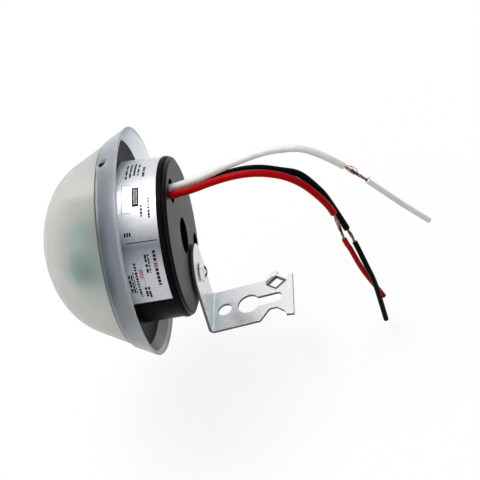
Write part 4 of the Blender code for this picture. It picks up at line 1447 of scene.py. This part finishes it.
    def build(self) -> None:
        """Build the bracket."""
        loops = [[(x, y, 0.0) for x, y in loop] for loop in [self.outline()] + self.holes()]
        flat = curve_mesh("blank", loops, dimensions="2D", fill_mode="BOTH", bevel_resolution=2,
                          extrude=self.plate / 2.0 - self.edge_round, bevel_depth=self.edge_round,
                          offset=-self.edge_round)
        bm = bmesh.new()
        bm.from_mesh(flat)
        bpy.data.meshes.remove(flat)
        bmesh.ops.translate(bm, verts=bm.verts, vec=(0.0, 0.0, self.plate / 2.0))
        tidy(bm)
        self.add_collar(bm)
        for i in range(self.bend_steps + 1):
            cut_at = (-self.bend_length * i / self.bend_steps, 0.0, 0.0)
            bmesh.ops.bisect_plane(bm, geom=bm.verts[:] + bm.edges[:] + bm.faces[:], dist=0.0001,
                                   plane_co=cut_at, plane_no=(1.0, 0.0, 0.0))
        bm.normal_update()
        for face in bm.faces:
            raised = face.calc_center_median().z > self.plate + 0.01
            face.material_index = int(abs(face.normal.z) < 0.55 or raised)
        for vert in bm.verts:
            vert.co = self.fold(vert.co)
        add_piece("mounting_bracket_plate", bm, [self.finish.material(), self.cut.material()],
                  ["mounting_bracket"], Space.FOOT)


@dataclass
class BracketScrew:
    """The pan-head cross-recess screw through the bracket's leg."""

    seat_x: float = 13.6
    below_axis: float = 17.0
    shaft: float = 1.5
    length: float = 9.0
    tip: tuple[float, float] = (0.5, 0.7)
    head: tuple[float, float] = (3.2, 2.1)
    crown: tuple[tuple[float, float], ...] = (
        (0.2, 1.0), (0.36, 0.96), (0.52, 0.87), (0.68, 0.74), (0.82, 0.57), (0.93, 0.36), (0.985, 0.17))
    recess: tuple[float, float, float] = (4.5, 1.15, 1.7)
    crown_fall: float = 26.0
    worn_depth: float = 0.15
    edge_round: float = 0.08
    finish: WorkedMetal = WorkedMetal("screw_steel", (0.80, 0.80, 0.79), (0.55, 0.56, 0.57), roughness=0.3,
                                      stretch=(3000.0, 400.0, 400.0))
    # painted shade: near-black steel for the recess walls
    dark: WorkedMetal = WorkedMetal("screw_recess_painted_shade", (0.07, 0.07, 0.07), (0.02, 0.02, 0.02), roughness=0.5)

    def build(self) -> None:
        """Build the screw, whose recess walls carry painted shade below the worn edge of its crown."""
        radius, height = self.head
        tip_x, top_x = self.seat_x - self.length, self.seat_x + height
        screw = lathe([
            (tip_x, 0.0, 0.0),
            (tip_x, self.shaft * self.tip[0], 0.0),
            (tip_x + self.shaft * self.tip[1], self.shaft, 0.0),
            (self.seat_x, self.shaft, 0.0),
            (self.seat_x, radius, 0.12),
            *((self.seat_x + height * x, radius * r, 0.0) for x, r in self.crown),
            (top_x, 0.0, 0.0),
        ], steps=64)
        long_half, short_half, depth = self.recess[0] / 2.0, self.recess[1] / 2.0, self.recess[2]
        bars = []
        for y, z in ((long_half, short_half), (short_half, long_half)):
            bars.append(bmesh.new())
            add_box(bars[-1], (top_x - depth, -y, -z), (top_x + OVERSHOOT, y, z))
        screw = combine(screw, combine(*bars, Join.ADD), Join.CUT)
        soften(screw, self.edge_round)
        # recess walls below the worn edge take the painted shade
        for face in screw.faces:
            x, y, z = face.calc_center_median()
            in_bar = min(abs(y), abs(z)) < short_half + 0.01 and max(abs(y), abs(z)) < long_half + 0.01
            surface_x = top_x - height * (abs(y) + abs(z)) ** 2 / self.crown_fall
            face.material_index = int(in_bar and self.seat_x < x < surface_x - self.worn_depth)
        bmesh.ops.translate(screw, verts=screw.verts, vec=(0.0, 0.0, -self.below_axis))
        add_piece("bracket_screw_head", screw, [self.finish.material(), self.dark.material()],
                  ["bracket_screw"])


@dataclass(frozen=True)
class Stray:
    """A strand that leaves the twist.

    It has its ends as shares of the bare length, its lift in millimetres and its side in degrees.
    """

    start: float
    end: float
    lift: float
    side: float = 0.0
    loose_end: bool = False


@dataclass
class Lead:
    """One lead: insulated run, bare twisted copper, and the piece of insulation left on its tip."""

    colour_name: str
    finish: Insulation
    route: tuple[tuple[float, float, float], ...]
    bare: tuple[float, float]
    strays: tuple[Stray, ...]
    seed: int
    exit_index: int = 1
    radius: float = 1.2
    stripped_radius: float = 1.04
    tip_radius: float = 0.86
    core_radius: float = 0.32
    core_margin: float = 1.05
    near_bare: float = 2.5
    cut_edge: tuple[tuple[float, float], ...] = ((0.5, 1.0), (0.08, 0.99), (0.0, 0.9))
    tip_edge: tuple[tuple[float, float], ...] = ((0.55, 1.0), (0.1, 1.0), (0.02, 0.92))
    cut_step: float = 0.01
    strands: int = 5
    strand_radius: float = 0.1
    strand_steps: int = 28
    strand_hidden: float = 0.3
    twist: float = 6.0

    def tube(self, line: Line) -> Mesh:
        """Make the lead as one tube whose thickness steps at the ends of its insulation.

        Args:
            line: The lead's centreline.

        Returns:
            The tube.
        """
        bare_from, bare_to = self.bare
        end = line.reached[-1]
        slim = (self.stripped_radius - self.radius) / bare_from
        stations = [(0.0, self.radius)]
        stations += [(s, self.radius + slim * s) for s in line.between(0.0, bare_from - 0.6)]
        stations += [(bare_from - back, self.stripped_radius * share) for back, share in self.cut_edge]
        stations += [(bare_from + self.cut_step, self.core_radius)]
        stations += [(s, self.core_radius) for s in line.between(bare_from + 0.3, bare_to - 0.3)]
        stations += [(bare_to - self.cut_step, self.core_radius)]
        stations += [(bare_to + ahead, self.tip_radius * share) for ahead, share in reversed(self.cut_edge)]
        stations += [(s, self.tip_radius) for s in line.between(bare_to + 0.8, end - 0.9)]
        stations += [(end - back, self.tip_radius * share) for back, share in self.tip_edge]
        stations += [(end, self.core_radius * 1.2)]
        points = [(*line.at(distance)[0], thickness) for distance, thickness in stations]
        return curve_mesh(f"{self.colour_name}_tube", [points], dimensions="3D", bevel_depth=1.0,
                          bevel_resolution=5, use_fill_caps=True)

    def twisted_strand(self, line: Line, phase: float, bulge: float) -> list[tuple[float, ...]]:
        """List the points of one strand of the loose twist round the core.

        Args:
            line: The lead's centreline.
            phase: Its angle at the start.
            bulge: How far it stands off the core halfway.

        Returns:
            The points.
        """
        bare_from, bare_to = self.bare
        turns = (bare_to - bare_from) / self.twist
        points = []
        for i in range(self.strand_steps + 1):
            share = i / self.strand_steps
            reach = bare_to - bare_from + 2.0 * self.strand_hidden
            place, along = line.at(bare_from - self.strand_hidden + reach * share)
            turned = Matrix.Rotation(phase + share * turns * math.tau, 3, along)
            out = self.core_radius + bulge * math.sin(math.pi * share) ** 2
            points.append((*(place + turned @ along.orthogonal().normalized() * out), 1.0))
        return points

    def stray_strand(self, line: Line, stray: Stray, draw: random.Random) -> list[tuple[float, ...]]:
        """List the points of one strand that strays from the twist.

        Args:
            line: The lead's centreline.
            stray: Where it leaves and how far it stands off.
            draw: The source of its small waves.

        Returns:
            The points.
        """
        bare_from, bare_to = self.bare
        points = []
        for i in range(self.strand_steps + 1):
            share = i / self.strand_steps
            rise = share ** 1.5 if stray.loose_end else math.sin(math.pi * share) ** 0.8
            part = stray.start + (stray.end - stray.start) * share
            place, along = line.at(bare_from + (bare_to - bare_from) * part)
            turned = Matrix.Rotation(math.radians(stray.side), 3, along)
            side = turned @ along.cross((0.0, 1.0, 0.0)).normalized()
            lift = stray.lift + draw.uniform(-0.04, 0.04)
            points.append((*(place + side * (self.core_radius + lift * rise)), 1.0))
        return points

    def strand_lines(self, line: Line) -> list[list[tuple[float, ...]]]:
        """List the bare strands: a loose twist round the core, and the few that stray from it.

        Args:
            line: The lead's centreline.

        Returns:
            The points of each strand.
        """
        draw = random.Random(self.seed)
        lines = []
        for number in range(self.strands):
            phase = math.tau * number / self.strands + draw.uniform(-0.2, 0.2)
            lines.append(self.twisted_strand(line, phase, draw.uniform(0.0, 0.14)))
        return lines + [self.stray_strand(line, stray, draw) for stray in self.strays]

    def build(self, copper: Material) -> None:
        """Args:
            copper: The finish of its bare strands.
        """
        line = Line.through(self.route)
        nodes = [f"{self.colour_name}_{part}" for part in ("lead", "copper", "tip")]
        piece = add_piece(f"{self.colour_name}_wire", self.tube(line), [self.finish.material(), copper],
                          nodes, even_normals=False)
        self.dress_core(piece, line)
        strands = curve_mesh(f"{self.colour_name}_twist", self.strand_lines(line), dimensions="3D",
                             bevel_depth=self.strand_radius, bevel_resolution=1, use_fill_caps=True)
        loose = add_piece(f"{self.colour_name}_strands", strands, [copper], even_normals=False)
        Space.HEAD.place(self.route[self.exit_index])
        [Space.HEAD.place(place) for place in line.points]

    def dress_core(self, piece: bpy.types.Object, line: Line) -> None:
        """Give the bare core and the cut end of the tip the copper.

        Args:
            piece: The lead's tube.
            line: Its centreline.
        """
        bare_from, bare_to = self.bare
        near = Line([place for place, s in zip(line.points, line.reached)
                     if bare_from - self.near_bare < s < bare_to + self.near_bare])
        back = Space.HEAD.value.inverted() @ Matrix.Scale(1.0 / MM, 4)
        for polygon in piece.data.polygons:
            centre = back @ polygon.center
            at_end = (centre - line.points[-1]).length < self.core_radius
            on_core = near.off(centre) < self.core_radius * self.core_margin
            polygon.material_index = int(at_end or on_core)


@dataclass
class Electronics:
    """The board and what stands on it, seen softly through the cover."""

    resistor_middles: tuple[float, ...] = (-6.0, -6.0, -6.0, 10.6)
    diode_middle: float = 12.0
    zener_middle: float = 5.0

    def finishes(self) -> dict[str, Any]:
        """List the finish of each CAD node that stays.

        Returns:
            The finishes by the nodes' names.
        """
        brown, gold, violet = (0.16, 0.07, 0.03), (0.55, 0.38, 0.12), (0.22, 0.06, 0.30)
        black, ink, silver = (0.03, 0.03, 0.03), (0.02, 0.02, 0.02), (0.62, 0.63, 0.65)
        tin = WorkedMetal("solder_tin", (0.74, 0.75, 0.76), (0.50, 0.51, 0.53), roughness=0.35)
        found: dict[str, Any] = {
            "circuit_board": BoardLaminate(),
            "relay_case": MouldedPlastic("relay_blue", (0.01, 0.34, 0.36), roughness=0.3, grain_size=0.4),
            "film_capacitor": MouldedPlastic("film_resin", (0.42, 0.10, 0.05), roughness=0.25, coat=0.4,
                                             grain_size=0.8, grain_depth=0.03),
            "electrolytic_capacitor": MouldedPlastic("can_sleeve", (0.02, 0.27, 0.27), roughness=0.28,
                                                     coat=0.3),
            "light_sensor": SensorFace(),
            "transistor": MouldedPlastic("moulding_black", black, roughness=0.5),
            "zener_diode": BandedBody("diode_glass", (0.50, 0.20, 0.08), ((1.0, 1.5, ink),),
                                      self.zener_middle),
        }
        for number, middle in enumerate(self.resistor_middles, start=1):
            found[f"resistor_{number}"] = BandedBody(
                f"resistor_tan_{number}", (0.01, 0.16, 0.18),
                ((-2.2, -1.6, brown), (-1.0, -0.5, violet), (0.1, 0.6, brown), (1.7, 2.2, gold)), middle)
        for number in (1, 2):
            found[f"rectifier_diode_{number}"] = BandedBody(f"diode_black_{number}", black,
                                                            ((1.3, 2.0, silver),), self.diode_middle)
        for colour_name in ("white", "black", "red"):
            found[f"{colour_name}_terminal"] = tin
        return found

    def dress(self) -> None:
        """Give each node that stays its finish."""
        made: dict[str, Material] = {}
        for node_name, finish in self.finishes().items():
            if finish.name not in made:
                made[finish.name] = finish.material()
            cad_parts[node_name].material_slots[0].material = made[finish.name]
            LOG.info("%s: dressed", node_name)


@dataclass
class Studio:
    """The pale floor, the soft light and the camera at the photograph's angle."""

    floor_z: float = -0.0225
    floor_size: float = 3.0
    floor_bounce: float = 0.4
    floor_cells: float = 4.0
    shadow_zone: tuple[float, float] = (0.07, 0.22)
    shadow_glow: float = 0.82
    room: float = 0.55
    camera_place: tuple[float, float, float] = (0.102088, -0.268596, 0.274009)
    camera_turn: tuple[float, float, float] = (45.8673, 20.1139, 0.0366)
    lens: float = 90.0
    lamps: tuple[tuple[str, tuple[float, float, float], float, float], ...] = (
        ("key", (-0.06, 0.14, 0.62), 0.36, 2.2),
        ("fill", (-0.45, -0.35, 0.35), 0.5, 0.8),
    )

    def shown_white(self, recipe: Recipe) -> Socket:
        """Find the rays that should see the plain white background.

        Args:
            recipe: The recipe that asks.

        Returns:
            1 for those rays and 0 for others.
        """
        path = recipe.add("ShaderNodeLightPath").outputs
        seen = recipe.maths("MAXIMUM", path["Is Camera Ray"], path["Is Glossy Ray"])
        return recipe.maths("MAXIMUM", seen, path["Is Transmission Ray"])

    def build_world(self) -> None:
        """Build the white room: white where it is seen, and a plain light level elsewhere."""
        world = bpy.data.worlds.new("room")
        world.use_nodes = True
        recipe = Recipe(world.node_tree)
        background = world.node_tree.nodes["Background"]
        background.inputs["Color"].default_value = (1.0, 1.0, 1.0, 1.0)
        recipe.join(recipe.scaled(self.shown_white(recipe), 0.0, 1.0, self.room, 1.0),
                    background.inputs["Strength"])
        bpy.context.scene.world = world

    def build_floor(self) -> None:
        """Build the floor, which keeps the object's shadow and is otherwise near white."""
        bm = bmesh.new()
        bmesh.ops.create_grid(bm, x_segments=2, y_segments=2, size=self.floor_size)
        bmesh.ops.translate(bm, verts=bm.verts, vec=(0.0, 0.0, self.floor_z))
        floor = new_object("studio_floor", to_mesh("studio_floor", bm))
        coat = Coat("studio_floor", Roughness=0.9, Specular_IOR_Level=0.1)
        pale = coat.tones(coat.noise(coat.place, self.floor_cells), (0.92, 0.92, 0.92), (0.94, 0.94, 0.94))
        shown = self.shown_white(coat)
        coat.set("Base Color", coat.blend(shown, (self.floor_bounce,) * 3, pale))
        glow = coat.add("ShaderNodeEmission", {"Color": (1.0, 1.0, 1.0, 1.0), "Strength": 1.0})
        away = coat.add("ShaderNodeVectorMath", {0: coat.place}, operation="LENGTH").outputs["Value"]
        white = coat.scaled(away, *self.shadow_zone, self.shadow_glow, 1.0)
        mixed = coat.add("ShaderNodeMixShader", {0: coat.maths("MULTIPLY", shown, white),
                                                 1: coat.shader.outputs[0], 2: glow.outputs[0]})
        coat.join(mixed.outputs[0], coat.tree.nodes["Material Output"].inputs["Surface"])
        floor.data.materials.append(coat.material)

    def build_lamps(self) -> None:
        """Build the soft lamps, each turned to the middle of the object."""
        low, high = CAD_BOX
        middle = (low + high) / 2.0
        for name, place, size, power in self.lamps:
            light = bpy.data.lights.new(name, "AREA")
            light.shape = "DISK"
            light.size = size
            light.energy = power
            lamp = new_object(name, light)
            lamp.location = place
            lamp.rotation_euler = (middle - Vector(place)).to_track_quat("-Z", "Y").to_euler()

    def build_camera(self) -> None:
        """Build the camera."""
        data = bpy.data.cameras.new("photo_camera")
        data.lens = self.lens
        data.sensor_width = 36.0
        data.clip_start = 0.01
        camera = new_object("photo_camera", data)
        camera.location = self.camera_place
        camera.rotation_euler = tuple(math.radians(angle) for angle in self.camera_turn)
        bpy.context.scene.camera = camera

    def build(self) -> None:
        """Build the studio."""
        bpy.context.scene.view_settings.view_transform = "Standard"
        self.build_world()
        self.build_floor()
        self.build_lamps()
        self.build_camera()


LEADS = (
    Lead("white", WHITE_INSULATION, (
        (4.3, 2.3, 18.0), (12.0, 2.3, 18.0), (21.4, 2.3, 20.2), (31.3, 2.3, 23.7), (40.9, 2.3, 26.2),
        (47.0, 2.3, 26.5), (52.8, 2.3, 25.6), (58.2, 2.3, 22.2), (64.3, 2.3, 16.5), (70.4, 2.3, 9.6),
        (79.2, 2.3, -1.2), (87.4, 2.3, -10.6)),
        (64.6, 73.8),
        (Stray(0.02, 0.56, 1.25, 5.0), Stray(0.04, 0.4, 0.6, -25.0), Stray(0.08, 0.62, 0.35, 170.0),
         Stray(0.3, 0.85, 0.35, 60.0), Stray(0.93, 1.0, 1.3, -10.0, loose_end=True)), seed=5),
    Lead("black", BLACK_INSULATION, (
        (4.3, 2.2, 15.1), (12.0, 2.0, 15.3), (19.8, 3.2, 16.6), (26.0, 3.2, 18.8), (33.6, 3.2, 20.1),
        (39.6, 3.2, 19.7), (45.3, 3.0, 17.9), (51.0, 2.3, 15.7), (55.9, 2.2, 8.4), (58.2, 2.2, 2.7),
        (61.9, 1.4, -8.3), (63.6, 0.0, -12.9), (65.8, -2.2, -20.6), (67.8, -2.4, -30.7), (69.4, -2.4, -48.2)),
        (74.9, 80.1),
        (Stray(0.1, 0.75, 0.3, 20.0), Stray(0.9, 1.0, 0.5, 150.0, loose_end=True)), seed=8),
    Lead("red", RED_INSULATION, (
        (4.3, -2.2, 17.4), (12.0, -0.8, 17.8), (18.0, -0.5, 18.4), (24.5, -0.5, 20.1), (30.9, -0.5, 21.3),
        (36.9, -0.5, 21.4), (42.7, -0.5, 20.1), (48.3, -0.5, 17.1), (53.4, -0.5, 11.6), (58.5, -0.5, 1.9),
        (60.6, -0.3, -10.9), (62.0, 0.2, -16.4), (63.6, 0.6, -23.2), (65.4, 0.8, -29.1), (69.8, 0.8, -40.3)),
        (65.4, 77.0),
        (Stray(0.1, 0.7, 0.25, 170.0),), seed=12),
)


def main() -> None:
    """Build the switch's looks and the studio."""
    logging.basicConfig(level=logging.INFO, format="%(name)s: %(message)s")
    Studio().build()
    copper = BareCopper().material()
    for lead in LEADS:
        lead.build(copper)
    for part in (DomeCover(), BaseHousing(), RatingLabel(), MountingBracket(), BracketScrew()):
        part.build()
    Electronics().dress()


if __name__ == "__main__":
    main()
